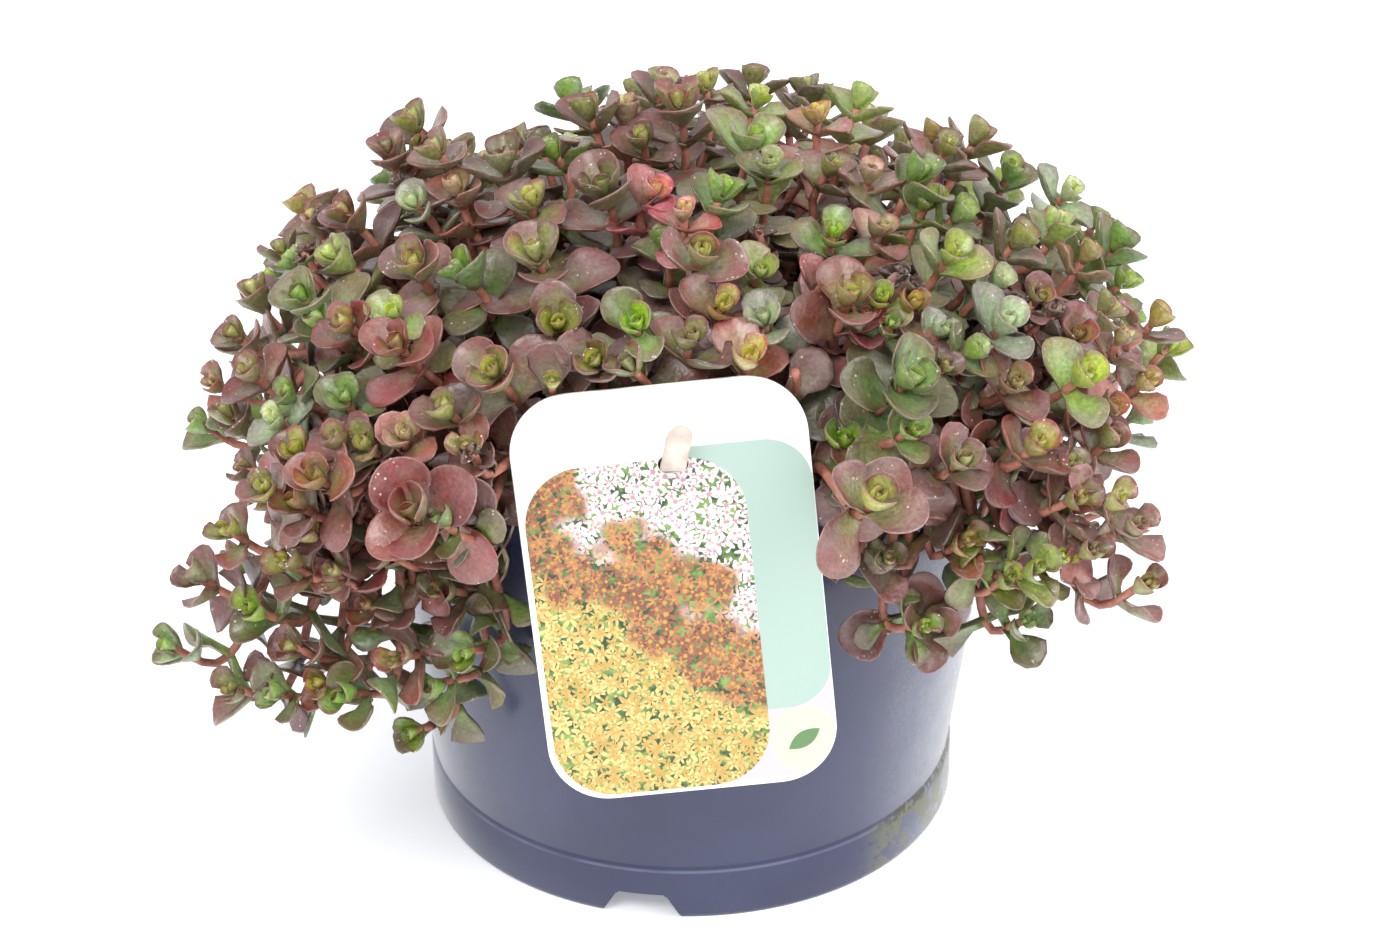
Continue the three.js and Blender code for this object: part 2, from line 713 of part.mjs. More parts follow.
// A leaf meets its own stem at its foot alone: slid a little way off along its length,
// it no longer touches the stem.
function addPair(shoot, pair, order, obstacles) {
  const ring = shoot.rings.length - 3 - 2 * order;
  const light = shoot.hangs ? 0.5 : 0.2;
  for (const face of [order % 2, 2 + (order % 2)]) {
    const jitter = 8 * (shoot.random() - 0.5);
    for (const [tilt, twist, share] of LEAF_SHIFTS) {
      const place = leafPlace(shoot.rings, ring, face, pair, tilt + jitter, twist, light);
      const points = leafPoints(place, COVER * shoot.leaf * pair.length * share);
      const leaf = { ring, face, points, ...obstacle(leafSolid(shoot.rings, ring, face, points)) };
      const along = new THREE.Vector3().setFromMatrixColumn(place, 0).setLength(STEM_SLIP);
      const slipped = obstacle(leaf.solid.translate(along.toArray()));
      const offStem = isClear(slipped, [shoot.stem], STEM_SLIP / 5);
      if (offStem && isClear(leaf, [...obstacles, ...shoot.leaves])) {
        shoot.leaves.push(leaf);
        break;
      }
    }
  }
}

// Leaves are set from the tips down, so that the rosettes that show keep their shape
function placeLeaves(shoots, fixed) {
  for (const shoot of shoots) {
    shoot.leaves = [];
  }
  for (let order = 0; order < PAIRS.length + HANGING_PAIRS; order += 1) {
    for (const shoot of shoots) {
      const pair = pairsOf(shoot)[order];
      if (pair) {
        const others = shoots.filter((other) => other !== shoot);
        const obstacles = others.flatMap((other) => [other.stem, ...other.leaves]);
        addPair(shoot, pair, order, [...fixed, ...obstacles]);
      }
    }
  }
}

function stemHole(shoot) {
  const foot = shoot.rings[0];
  const hole = new THREE.CylinderGeometry(HOLE_RADIUS, HOLE_RADIUS, 20, 4);
  hole.rotateX(Math.PI / 2);
  hole.rotateZ(Math.PI / 4 + rad(shoot.turn));
  hole.translate(foot.point.x, foot.point.y, foot.point.z - GAP + 10);
  return solidOf(hole);
}

function part(name, geometry, colour, roughness) {
  const material = new THREE.MeshStandardMaterial({ color: colour, roughness, metalness: 0 });
  const mesh = new THREE.Mesh(geometry, material);
  mesh.name = name;
  return mesh;
}

function build() {
  const plant = new THREE.Group();
  const pot = potSolid();
  const label = labelSolid();
  const hook = hookSolid();
  const wholeSoil = soilSolid();
  const fixed = [pot, label, hook].map(obstacle);
  const shoots = placeStems(allShoots(), fixed);
  placeLeaves(shoots, [...fixed, obstacle(wholeSoil)]);
  const holes = wasm.Manifold.union([hookHole(), ...shoots.map(stemHole)]);
  const soil = wholeSoil.subtract(holes);
  plant.add(part('pot', geometryOf(pot), 0x4a4c5c, 0.5));
  plant.add(part('soil', geometryOf(soil), 0x2b211b, 1));
  plant.add(part('label', geometryOf(label), 0xf2f2ee, 0.35));
  plant.add(part('label_hook', geometryOf(hook), 0xd9d4cc, 0.3));
  shoots.forEach((shoot, index) => {
    const name = `shoot_${String(index + 1).padStart(2, '0')}`;
    const geometry = shootGeometry(shoot.rings, shoot.leaves);
    plant.add(part(name, geometry, TINTS[shoot.tint], 0.45));
  });
  return plant;
}

export default build();
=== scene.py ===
"""Potted sedum makinoi: the looks of the plant, its nursery pot and its label.

Lengths are millimetres, as in the part's own source, until a mesh is made: then MM turns them
into metres. Shoots are placed by the same rules as the part's, so each stands where its node is.
"""

import math

import bmesh
import bpy
import numpy as np
from mathutils import Matrix, Vector


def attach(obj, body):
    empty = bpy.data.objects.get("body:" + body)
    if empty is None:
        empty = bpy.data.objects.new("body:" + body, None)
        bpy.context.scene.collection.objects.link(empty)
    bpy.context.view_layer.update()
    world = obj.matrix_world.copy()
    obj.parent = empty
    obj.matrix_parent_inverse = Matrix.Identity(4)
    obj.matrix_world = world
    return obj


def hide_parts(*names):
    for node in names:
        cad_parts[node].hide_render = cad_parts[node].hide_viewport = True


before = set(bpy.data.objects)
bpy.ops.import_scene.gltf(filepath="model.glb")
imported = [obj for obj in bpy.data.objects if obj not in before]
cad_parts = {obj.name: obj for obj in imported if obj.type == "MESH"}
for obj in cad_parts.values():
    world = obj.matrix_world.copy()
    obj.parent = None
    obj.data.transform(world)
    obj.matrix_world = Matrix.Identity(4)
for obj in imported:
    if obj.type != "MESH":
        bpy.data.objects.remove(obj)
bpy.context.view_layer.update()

MM = 0.001

# Pot and soil, as in the part's source
POT_HEIGHT = 95.5
RIM_RADIUS = 65
RIM_HEIGHT = 7
LIP_WIDTH = 2.5
BASE_RADIUS = 51.6
WALL = 1.6
LEDGE_Z = 10.3
LEDGE_DEPTH = 0.6
NECK_RADIUS = 62.4
PAD_RADIUS = 16
FLOOR_UNDERSIDE = 3.5
FLOOR_TOP = 6.5
FOOT_WIDTH = 2.6
POT_SIDES = 192
DRAIN_HOLES = 6
DRAIN_RADIUS = 4
DRAIN_RING = 33
NOTCHES = 3
NOTCH_WIDTH_LOW = 14.5
NOTCH_WIDTH_HIGH = 10
NOTCH_HEIGHT = 5
NOTCH_TURN = -11
SOIL_Z = 87

# Mound of shoot tips and the stems that carry them, as in the part's source
MOUND_RADIUS = 91
MOUND_RISE = 50
MOUND_Z = 88
SHOOT_COUNT = 56
SHOOT_SPACING = 29
FILL_STEPS = 300
FILL_TOP = 0.97
FILL_LOW = -0.62
GOLDEN_ANGLE = 137.508
# Hollows in the mound's back: where the middle lies, how deep it is, and its half width
HOLLOWS = [(-32, 38, 14, 15), (52, 48, 9, 13)]
ROOT_DEPTH = 6
ROOT_RADIUS = 53
ROOT_EDGE = 8
FOOT_RISE = 0.3
COLLAR_RISE = 2
NECK = 8
TRAILING_NECK = 11
AXIS_WOBBLE = 0.3
# A trailing shoot points this far out and up, and less far up the more it drops below the rim
TRAILING_OUT = 0.8
TRAILING_RISE = 0.55
TRAILING_SAG = 0.5
TRAILING_DROP = 25
# Bends that take a trailing stem over the rim: how far past it and above it
OVER_RIM = [(-7, 5), (5, 2)]
# A stem that stands this far past the rim bends just inside it, at least this high above it
WIDE_REACH = 6
CREST_OVER_RIM = 4
CREST_SHARE = 0.62
MIDDLE_SHARE = 0.55

# The photograph's place, level and turn
EYE = np.array([0, -513, 337.5])
VIEW_DOWN = 27.67
VIEW_TURN = 0.29
VIEW_ROLL = -0.86
LENS = 77.14
SENSOR = 36

# Label and hook, as in the part's source
LABEL_WIDTH = 50.5
LABEL_HEIGHT = 75
LABEL_THICKNESS = 0.8
LABEL_CORNER = 10.5
LABEL_CENTRE = np.array([-2.2, -67.9, 79.9])
LABEL_LEAN = 8
LABEL_TURN = 5
SLOT_RIGHT = 2
SLOT_BELOW_TOP = 14.2
SLOT_WIDTH = 5.2
SLOT_HEIGHT = 3
HOOK_WIDTH = 4.4
HOOK_THICKNESS = 1
# How far in front of the label leaves stay out of its way, and the gaps that they keep beside
# and behind it, over the rim, to the pot's wall and collar, and to the soil
LABEL_FREE = 14
GAP_BESIDE = 1
GAP_BEHIND = 0.3
GAP_RIM = 0.3
GAP_WALL = 0.4
GAP_COLLAR = 1
GAP_SOIL = 0.5
# Small shoots of the spiral are left out this far beside the label and inside the rim, up to
# this height
SHADE_BESIDE = 6
SHADE_INSIDE = 8
SHADE_TOP = 116

# Printed panels on the label: middle across and up, half sizes, and corner
PICTURE_PANEL = (-5.3, -6.2, 18.9, 30.6, 10.5)
SIDE_PANEL = (11.6, 1.4, 13.6, 24.8, 8)
STRIP_PANEL = (11.6, -17.8, 13.6, 18.6, 9)
CORNER_PANEL = (19.4, -29.6, 5.6, 6.2, 5)
PRINT_EDGE = 0.06
# Layers of blossoms: cell size, petals, radius, and how far the layer is moved up
BLOSSOM_LAYERS = [(3.6, 5, 2.2, 0), (3.1, 6, 1.8, 40), (2.4, 5, 1.3, 90)]

# Where dust and painted sheen, the ledge's painted highlight, algae and crust begin and end on the
# pot: along X, along Y, or from the ledge
DUST_AND_SHEEN_RIGHT = (30, 62)
DUST_AND_SHEEN_LEFT = (-56, -43)
LEDGE_HIGHLIGHT = (0.1, 0.4)
ALGAE_TOP = (0.2, 0.8)
ALGAE_RIGHT = (31, 39)
ALGAE_BACK = (-20, 10)
CRUST_BAND = (0.6, 1.6)
CRUST_RIGHT = (32, 38)

SOIL_RINGS = 44
SOIL_SIDES = 160
SOIL_WAVES = 18
SOIL_LUMPS = 2.2
SOIL_GRAIN = 0.25
SOIL_HIGHEST = 1.5
# The soil falls by this much over the last share of its radius
SOIL_FALL = 1.5
SOIL_FALL_SHARE = 0.07
SOIL_FLOOR_GAP = 0.3

# Floor and lights: each light's place, width and power, and the point that they aim at
FLOOR_HALF = 3000
KEY_LIGHT = ((-300, -700, 1100), 600, 9.3)
FILL_LIGHT = ((800, -400, 700), 700, 5)
LIGHTS_AIM = (0, 0, 80)

# Shoots that are nodes of the part: tint, mm across and mm up in the front view from the
# middle of the rim, length of the largest leaf, and for a trailing one its tip's reach.
SEEN_SHOOTS = [
    ("bronze", -53, 35, 10), ("red", -64, 24, 9), ("bronze", -34, 33, 11),
    ("green", -72, 8, 10.5), ("bronze", -51, 14, 10), ("bronze", -28, 16, 12),
    ("red", -54, -1, 10), ("red", -82, -6, 9), ("bronze", -36, -6, 11), ("green", -92, -16, 8),
    ("bronze", -15, 28, 11.5), ("bronze", -18, 43, 9.5), ("bronze", -1, 44, 11),
    ("green", 13, 37, 12), ("bronze", 3, 16, 10.5), ("green", -9, 3, 9), ("lime", 33, 45, 10),
    ("green", 44, 31, 10.5), ("bronze", 55, 38, 10), ("lime", 50, 16, 9.5),
    ("green", 82, 18, 10.5), ("red", 89, 4, 8.5), ("red", 31, 8, 10), ("mint", 60, 3, 10),
    ("green", 42, -8, 12), ("lime", 75, -7, 10), ("bronze", 36, -30, 11.5), ("red", -51, -33, 12),
    ("orange", -69, -26, 10), ("green", 30, -19, 9.5, 66), ("green", -97, -58, 9.5, 105),
    ("green", -81, -51, 10, 95), ("green", -64, -67, 9.5, 88), ("green", -41, -59, 9.5, 76),
    ("bronze", 46, -53, 11.5, 77), ("lime", 66, -43, 10, 90), ("bronze", 81, -30, 9.5, 97),
    ("bronze", 87, -46, 9, 103), ("red", 66, -20, 9.5), ("bronze", 80, -19, 9.5),
]

# Smaller shoots between them, which are pieces of this scene alone, given the same way
SMALL_SHOOTS = [
    ("mint", -51, 26, 8), ("orange", -43, 29, 8.5), ("lime", -66, 16, 9), ("green", -69, 4, 8),
    ("bronze", -81, 9, 9), ("green", -74, 15, 7), ("red", -70, 23, 7), ("green", -42, 13, 9.5),
    ("red", -64, 3, 9), ("lime", -55, 5, 7.5), ("green", -75, -10, 8), ("green", -64, -11, 9),
    ("mint", -77, -15, 8), ("bronze", -29, 26, 9.5), ("green", -25, 36, 8.5),
    ("orange", -12, 44, 8), ("bronze", -4, 48, 9), ("bronze", 4, 48, 9), ("bronze", 13, 49, 9.5),
    ("bronze", 23, 48, 9), ("lime", 16, 33, 8), ("coral", -6, 28, 8.5), ("coral", 0, 24, 7.5),
    ("green", 7, 28, 10), ("green", -4, 19, 7.5), ("lime", 14, 13, 9), ("coral", 27, 11, 8),
    ("coral", 34, 5, 7.5), ("red", 7, 6, 9.5), ("mint", 15, 4, 8.5), ("orange", 12, -4, 10.5),
    ("bronze", -10, -5, 10), ("bronze", 1, 0, 10), ("bronze", -24, 3, 10.5),
    ("bronze", -17, -4, 10), ("bronze", -25, -8, 9.5), ("bronze", 21, -6, 9.5),
    ("bronze", 30, 51, 9), ("bronze", 28, 33, 9), ("orange", 35, 31, 8.5), ("red", 47, 38, 9),
    ("green", 65, 34, 9.5), ("lime", 46, 26, 8), ("green", 28, 20, 10), ("orange", 37, 21, 8.5),
    ("green", 52, 24, 8.5), ("lime", 56, 14, 7.5), ("bronze", 63, 19, 9.5), ("lime", 70, 22, 9),
    ("orange", 76, 16, 8), ("green", 83, 11, 8.5), ("lime", 37, 8, 7.5), ("orange", 43, 7, 8.5),
    ("green", 39, 3, 7), ("mint", 49, 2, 7.5), ("green", 54, -2, 8), ("bronze", 49, -5, 8.5),
    ("mint", 59, 11, 8), ("bronze", 67, 8, 7.5), ("orange", 87, -8, 8.5), ("red", 74, 1, 9),
    ("red", 62, -8, 9.5), ("orange", 80, -13, 8.5), ("bronze", 73, -24, 9),
    ("bronze", 80, 6, 8.5), ("orange", 83, 1, 8), ("green", 36, -17, 8, 68),
    ("green", 43, -17, 8), ("bronze", 35, -24, 9.5, 72), ("bronze", 52, -23, 9),
    ("orange", 53, -38, 9.5, 80), ("bronze", 38, -41, 9, 72), ("lime", 61, -45, 8, 86),
    ("lime", 71, -41, 8, 92), ("green", 64, -53, 9.5, 86), ("red", 74, -30, 10, 92),
    ("bronze", 85, -35, 9, 100), ("bronze", 77, -40, 9, 96), ("bronze", -85, -66, 9, 98),
    ("green", -77, -67, 9, 94), ("red", -69, -65, 9, 90), ("red", -54, -60, 10, 80),
    ("green", -51, -74, 9.5, 74), ("green", -47, -65, 8.5, 75), ("orange", -83, -24, 9),
    ("red", -73, -31, 9.5, 92), ("orange", -70, -36, 9, 88), ("bronze", -86, -36, 8.5, 98),
    ("red", -66, -44, 10, 88), ("red", -75, -42, 9.5, 93), ("red", -60, -50, 9, 82),
    ("bronze", -92, -45, 9, 102), ("bronze", -74, -58, 9, 92), ("orange", -41, -20, 8),
    ("bronze", -36, -32, 8.5, 70), ("bronze", -60, -20, 9.5), ("orange", -53, -18, 9),
    ("red", -65, -19, 9), ("bronze", -73, -21, 9), ("bronze", -45, -13, 9),
    ("bronze", -86, -14, 8.5), ("orange", -89, -8, 8), ("bronze", -85, 1, 9),
    ("bronze", -79, -28, 9, 94), ("bronze", -46, -47, 9.5, 73), ("bronze", -57, -40, 9, 80),
    ("green", -46, -34, 7.5), ("dry", 67, 8, 5.5), ("dry", 70, 5, 5.5), ("dry", 63, 6, 5),
    ("dry", 43, 10, 5), ("dry", 41, 13, 4.5), ("dry", -69, 24, 4.5), ("dry", -72, 17, 4.5),
    ("dry", -54, 30, 4.5), ("dry", -40, -21, 4.5), ("dry", 14, 21, 4.5), ("bronze", -8, 38, 9),
    ("green", 45, -54, 7, 79),
]
# A few that stand over the mound at its left shoulder
TALL_SHOOTS = [("bronze", -51, 41, 10.5), ("red", -56, 36, 9), ("bronze", -47, 36, 9)]
TALL_LOW = 1.07
SMALL_LOW = 0.93
SMALL_SPREAD = 0.07
SMALL_SWAY = 9
SMALL_TILT = 0.5
FILL_SMALL_STEPS = 900
FILL_SMALL_SPACING = 14.5
FILL_SMALL_FRONT_SPACING = 19
FILL_SMALL_LOW = -0.6
FILL_SMALL_LIFT = 0.88
FILL_SMALL_UNEVEN = 0.14
GOLDEN_SHARE = 0.618

# Dry strands and crumbs of leaf: how many, how far from the middle they lie, and the turn at
# which strands hang over the rim
STRANDS = 90
CRUMBS = 70
HANGING_STRANDS = 16
STRAND_RING = (20, 55)
CRUMB_RING = (10, 55)
LITTER_EDGE = 57
STRANDS_TURN = -121
STRANDS_SPREAD = 9

# Pairs of leaves on a stem: distance below the tip, length as a share of the largest
# leaf, angle from the stem, and age, from 0 in the bud to 1 in a full grown leaf and 1.5 in an
# old one.
PAIRS = [
    (0.2, 0.2, 8, 0.0),
    (0.5, 0.36, 26, 0.08),
    (1.4, 0.64, 41, 0.28),
    (3.6, 0.94, 53, 0.6),
    (8.2, 1.04, 62, 0.85),
    (13.5, 1.0, 69, 0.98),
    (19.5, 0.96, 74, 1.2),
    (26.0, 0.9, 78, 1.5),
]
TRAILING_PAIR_STEP = 8
TRAILING_PAIRS = 4
TRAILING_PAIR = (0.86, 86, 1.2)
TRAILING_SPREAD = 1.35
BARE_STEM = 16
# How leaves grow on upright and on trailing shoots: their size and slimness, how much their upper
# sides turn to the light, how widely they roll, how much they flatten with age, and how tanned
# they are.
UPRIGHT = {"size": 0.98, "slim": 1, "light": 0.2, "roll": 7, "flatten": 0.5, "tan": (0, 0.7)}
TRAILING = {"size": 1, "slim": 0.86, "light": 0.45, "roll": 18, "flatten": 0.3, "tan": (0.3, 1)}
# Share of the tan that leaves of the green tints have, and of its age that a trailing leaf shows
GREEN_TINTS = ("green", "lime", "mint")
GREEN_TAN = 0.35
TRAILING_AGEING = {"green": 0.88, "lime": 0.7}
LEAF_WIDTH = 0.9
LEAF_THICKNESS = 1.25
LEAF_OUTSET = 0.4
STEM_RADIUS = 1.15
STEM_TAPER = 0.35
STEM_SIDES = 7
STEM_RING_STEP = 2.5

# A leaf's half width at these shares of its length: a narrow foot that opens to a round spoon.
# Leaves of trailing shoots have a thinner foot.
OUTLINE_STEPS = [0, 0.12, 0.26, 0.4, 0.52, 0.64, 0.76, 0.86, 0.93, 0.975, 1]
LEAF_WIDTHS = [0.36, 0.38, 0.5, 0.74, 0.92, 1, 0.96, 0.82, 0.61, 0.38, 0.14]
SPOON_WIDTHS = [0.26, 0.24, 0.3, 0.5, 0.77, 0.95, 1, 0.9, 0.68, 0.43, 0.14]
LEAF_COLUMNS = [-1, -0.96, -0.8, -0.4, 0, 0.4, 0.8, 0.96, 1]
# Leaves that are small, or seen less, have every other row of the outline and fewer columns
PLAIN_COLUMNS = [-1, -0.88, -0.45, 0, 0.45, 0.88, 1]

UP = np.array([0.0, 0.0, 1.0])
RIGHT = np.array([1.0, 0.0, 0.0])


def unit(vector):
    return vector / np.linalg.norm(vector)


def turned_about(vector, axis, degrees):
    """The vector turned about a unit axis."""
    angle = math.radians(degrees)
    along = axis * (axis @ vector)
    return along + (vector - along) * math.cos(angle) + np.cross(axis, vector) * math.sin(angle)


def random_from(index):
    """The same draws as in the part's source, for the shoot with this index."""
    state = ((index + 1) * 2654435761) % 2**32

    def draw():
        nonlocal state
        state = (state * 1664525 + 1013904223) % 2**32
        return state / 2**32

    return draw


def label_axes():
    """Across, up and out of the label's front."""
    lean = math.radians(LABEL_LEAN)
    tall = np.array([0, math.sin(lean), math.cos(lean)])
    back = -np.cross(RIGHT, tall)
    across = turned_about(RIGHT, back, -LABEL_TURN)
    up = turned_about(tall, back, -LABEL_TURN)
    return across, up, np.cross(across, up)


LABEL_AXES = label_axes()


def add_object(name, data):
    """A new object in the scene, from a mesh, a light or a camera."""
    new = bpy.data.objects.new(name, data)
    bpy.context.scene.collection.objects.link(new)
    return new


def placed(axes, at):
    """The matrix of an object with these axes, at a point in millimetres."""
    place = Matrix.Identity(4)
    for row in range(3):
        place[row] = (*[axis[row] for axis in axes], at[row] * MM)
    return place


def around(radius, sides):
    """Corners of a level circle, from +X on."""
    turns = [2 * math.pi * side / sides for side in range(sides)]
    return [(radius * math.cos(turn), radius * math.sin(turn)) for turn in turns]


# Camera


def view_axes():
    """Right, up and forward of the photograph's view."""
    down = math.radians(VIEW_DOWN)
    turn = math.radians(VIEW_TURN)
    roll = math.radians(VIEW_ROLL)
    forward = np.array(
        [math.sin(turn) * math.cos(down), math.cos(turn) * math.cos(down), -math.sin(down)]
    )
    level = np.array([math.cos(turn), -math.sin(turn), 0])
    top = np.cross(level, forward)
    right = math.cos(roll) * level + math.sin(roll) * top
    up = -math.sin(roll) * level + math.cos(roll) * top
    return right, up, forward


def make_camera():
    data = bpy.data.cameras.new("camera")
    data.lens = LENS
    data.sensor_width = SENSOR
    camera = add_object("camera", data)
    right, up, forward = view_axes()
    camera.matrix_world = placed((right, up, -forward), EYE)
    bpy.context.scene.camera = camera


# Materials: a node tree is built by these short helpers


class Nodes:
    """A material's node tree, with a Principled shader at its end."""

    def __init__(self, name):
        self.material = bpy.data.materials.new(name)
        self.material.use_nodes = True
        self.tree = self.material.node_tree
        self.shader = self.tree.nodes["Principled BSDF"]

    def add(self, kind, **settings):
        node = self.tree.nodes.new(kind)
        for key, value in settings.items():
            setattr(node, key, value)
        return node

    def link(self, source, target):
        self.tree.links.new(source, target)

    def put(self, socket, value):
        """Links the value into the socket, or sets it there where it is a constant."""
        if isinstance(value, bpy.types.NodeSocket):
            self.link(value, socket)
        else:
            socket.default_value = value

    def place(self):
        return self.add("ShaderNodeTexCoord").outputs["Object"]

    def math(self, operation, first, second=0.0, clamp=False):
        node = self.add("ShaderNodeMath", operation=operation, use_clamp=clamp)
        self.put(node.inputs[0], first)
        self.put(node.inputs[1], second)
        return node.outputs[0]

    def times(self, first, second):
        return self.math("MULTIPLY", first, second)

    def plus(self, first, second):
        return self.math("ADD", first, second)

    def minus(self, first, second):
        return self.math("SUBTRACT", first, second)

    def length(self, x, y):
        squares = self.plus(self.math("POWER", x, 2.0), self.math("POWER", y, 2.0))
        return self.math("SQRT", squares)

    def noise(self, scale, detail=3.0, rough=0.55):
        node = self.add("ShaderNodeTexNoise")
        self.link(self.place(), node.inputs["Vector"])
        node.inputs["Scale"].default_value = scale
        node.inputs["Detail"].default_value = detail
        node.inputs["Roughness"].default_value = rough
        return node.outputs["Fac"]

    def cells(self, scale, at=None):
        node = self.add("ShaderNodeTexVoronoi")
        self.link(at or self.place(), node.inputs["Vector"])
        node.inputs["Scale"].default_value = scale
        return node

    def step(self, value, low, high, to_low=0.0, to_high=1.0):
        """The value taken smoothly from low..high to 0..1, or to to_low..to_high."""
        node = self.add("ShaderNodeMapRange", interpolation_type="SMOOTHSTEP")
        self.put(node.inputs["Value"], value)
        node.inputs["From Min"].default_value = low
        node.inputs["From Max"].default_value = high
        node.inputs["To Min"].default_value = to_low
        node.inputs["To Max"].default_value = to_high
        return node.outputs["Result"]

    def within(self, value, reach, to_low=0.0, to_high=1.0):
        """The same over a reach in millimetres."""
        low, high = reach
        return self.step(value, low * MM, high * MM, to_low, to_high)

    def mix(self, share, first, second):
        node = self.add("ShaderNodeMix", data_type="RGBA")
        self.put(node.inputs[0], share)
        self.put(node.inputs[6], first)
        self.put(node.inputs[7], second)
        return node.outputs[2]

    def split(self, vector):
        node = self.add("ShaderNodeSeparateXYZ")
        self.link(vector, node.inputs[0])
        return node.outputs[0], node.outputs[1], node.outputs[2]

    def attribute(self, name):
        return self.add("ShaderNodeAttribute", attribute_name=name).outputs["Vector"]

    def bump(self, height, distance, strength=1.0):
        node = self.add("ShaderNodeBump")
        node.inputs["Distance"].default_value = distance
        node.inputs["Strength"].default_value = strength
        self.link(height, node.inputs["Height"])
        self.link(node.outputs["Normal"], self.shader.inputs["Normal"])

    def panel(self, x, y, box):
        """1 inside a rounded rectangle: its middle, its half sizes and corner, in millimetres."""
        middle_x, middle_y, half_x, half_y, corner = [each * MM for each in box]
        off_x = self.math("ABSOLUTE", self.minus(x, middle_x))
        off_y = self.math("ABSOLUTE", self.minus(y, middle_y))
        off_x = self.minus(off_x, half_x - corner)
        off_y = self.minus(off_y, half_y - corner)
        out_x, out_y = self.math("MAXIMUM", off_x, 0.0), self.math("MAXIMUM", off_y, 0.0)
        inside = self.math("MINIMUM", self.math("MAXIMUM", off_x, off_y), 0.0)
        away = self.plus(self.length(out_x, out_y), inside)
        return self.step(away, corner - PRINT_EDGE * MM, corner + PRINT_EDGE * MM, 1, 0)

    def front_only(self):
        """1 on the label's printed face, which is its own +Z side."""
        _, _, z = self.split(self.place())
        return self.within(z, (0.3, 0.38))

    def flowers(self, x, y, cell, petals, size, turn):
        """Masks of petals and of the middles of flowers, one to a cell of this size."""
        at = self.add("ShaderNodeCombineXYZ")
        self.link(x, at.inputs[0])
        self.link(self.plus(y, turn * MM), at.inputs[1])
        spots = self.cells(1 / (cell * MM), at=at.outputs[0])
        off = self.add("ShaderNodeVectorMath", operation="SUBTRACT")
        self.link(at.outputs[0], off.inputs[0])
        self.link(spots.outputs["Position"], off.inputs[1])
        dx, dy, _ = self.split(off.outputs[0])
        angle = self.math("ARCTAN2", dy, dx)
        own, _, _ = self.split(spots.outputs["Color"])
        angle = self.plus(self.times(angle, petals), self.times(own, 6.0))
        lobes = self.times(self.math("COSINE", angle), 0.4)
        radius = self.times(self.plus(lobes, 0.6), size * MM)
        away = self.length(dx, dy)
        petal = self.step(self.minus(radius, away), 0.0, 0.12 * MM)
        middle = self.step(away, 0.16 * size * MM, 0.3 * size * MM, 1, 0)
        return petal, middle, own

    def blossoms(self, x, y):
        """Generic blossoms over foliage: white above, russet across the middle, yellow below."""
        shade = self.step(self.noise(500, detail=5), 0.35, 0.68)
        colour = self.mix(shade, srgb(40, 66, 36), srgb(132, 162, 84))
        drift = self.plus(self.times(y, 20.0), self.times(x, 16.0))
        drift = self.plus(drift, self.times(self.noise(60, detail=2), 1.1))
        upper = self.step(drift, 0.62, 0.74)
        lower = self.step(drift, 0.2, 0.32, 1, 0)
        for cell, petals, size, turn in BLOSSOM_LAYERS:
            petal, middle, own = self.flowers(x, y, cell, petals, size, turn)
            tone = self.step(own, 0.1, 0.9)
            russet = self.mix(tone, srgb(134, 76, 62), srgb(184, 124, 84))
            white = self.mix(tone, srgb(214, 204, 212), srgb(240, 236, 238))
            yellow = self.mix(tone, srgb(188, 156, 86), srgb(214, 194, 126))
            bloom = self.mix(lower, self.mix(upper, russet, white), yellow)
            eye = self.mix(upper, srgb(190, 150, 70), srgb(190, 140, 146))
            bloom = self.mix(middle, bloom, eye)
            colour = self.mix(petal, colour, bloom)
        return colour

    def leaf_motif(self, x, y):
        """A plain light green ground with one dark green leaf shape on it."""
        off_x = self.minus(x, CORNER_PANEL[0] * MM)
        off_y = self.minus(y, CORNER_PANEL[1] * MM)
        tilt = self.plus(off_x, self.times(off_y, 0.6))
        across = self.math("ABSOLUTE", self.minus(off_y, self.times(off_x, 0.6)))
        bulge = self.times(self.math("POWER", tilt, 2.0), 110.0)
        leaf = self.step(self.plus(across, bulge), 1.6 * MM, 1.75 * MM, 1, 0)
        return self.mix(leaf, srgb(204, 216, 182), srgb(96, 130, 84))

    def colour(self, value):
        self.put(self.shader.inputs["Base Color"], value)

    def set(self, **values):
        """Sets sockets of the shader, with _ for a space in the socket's name."""
        for key, value in values.items():
            self.put(self.shader.inputs[key.replace("_", " ")], value)


def srgb(red, green, blue):
    """A colour given in 0..255 as a screen shows it."""
    def linear(value):
        share = value / 255
        return share / 12.92 if share <= 0.04045 else ((share + 0.055) / 1.055) ** 2.4

    return (linear(red), linear(green), linear(blue), 1)


# Each tint: the full grown leaf, the part of it near the foot, the bud, the rim, and the underside
LEAF_COLOURS = {
    "bronze": ((117, 71, 62), (126, 127, 73), (173, 181, 86), (170, 121, 109), (145, 143, 92)),
    "red": ((126, 56, 44), (132, 110, 68), (174, 178, 88), (160, 92, 80), (150, 124, 88)),
    "coral": ((176, 78, 78), (172, 112, 94), (196, 176, 108), (206, 132, 128), (180, 130, 116)),
    "orange": ((158, 86, 63), (154, 131, 81), (190, 186, 94), (185, 132, 109), (168, 141, 98)),
    "green": ((110, 104, 62), (106, 147, 58), (154, 194, 76), (156, 128, 106), (132, 160, 88)),
    "lime": ((137, 130, 74), (138, 168, 70), (184, 202, 88), (164, 142, 108), (150, 170, 92)),
    "mint": ((142, 140, 118), (148, 176, 122), (190, 208, 130), (176, 156, 138), (160, 182, 138)),
    "dry": ((66, 46, 42), (82, 62, 50), (110, 88, 66), (120, 98, 80), (74, 56, 46)),
}
# Colours of an old tanned leaf, of the leaves' grey bloom, and of their pale dots
TANNED_LEAF = (134, 70, 56)
GREY_BLOOM = (164, 152, 152)
PALE_DOT = (216, 204, 190)


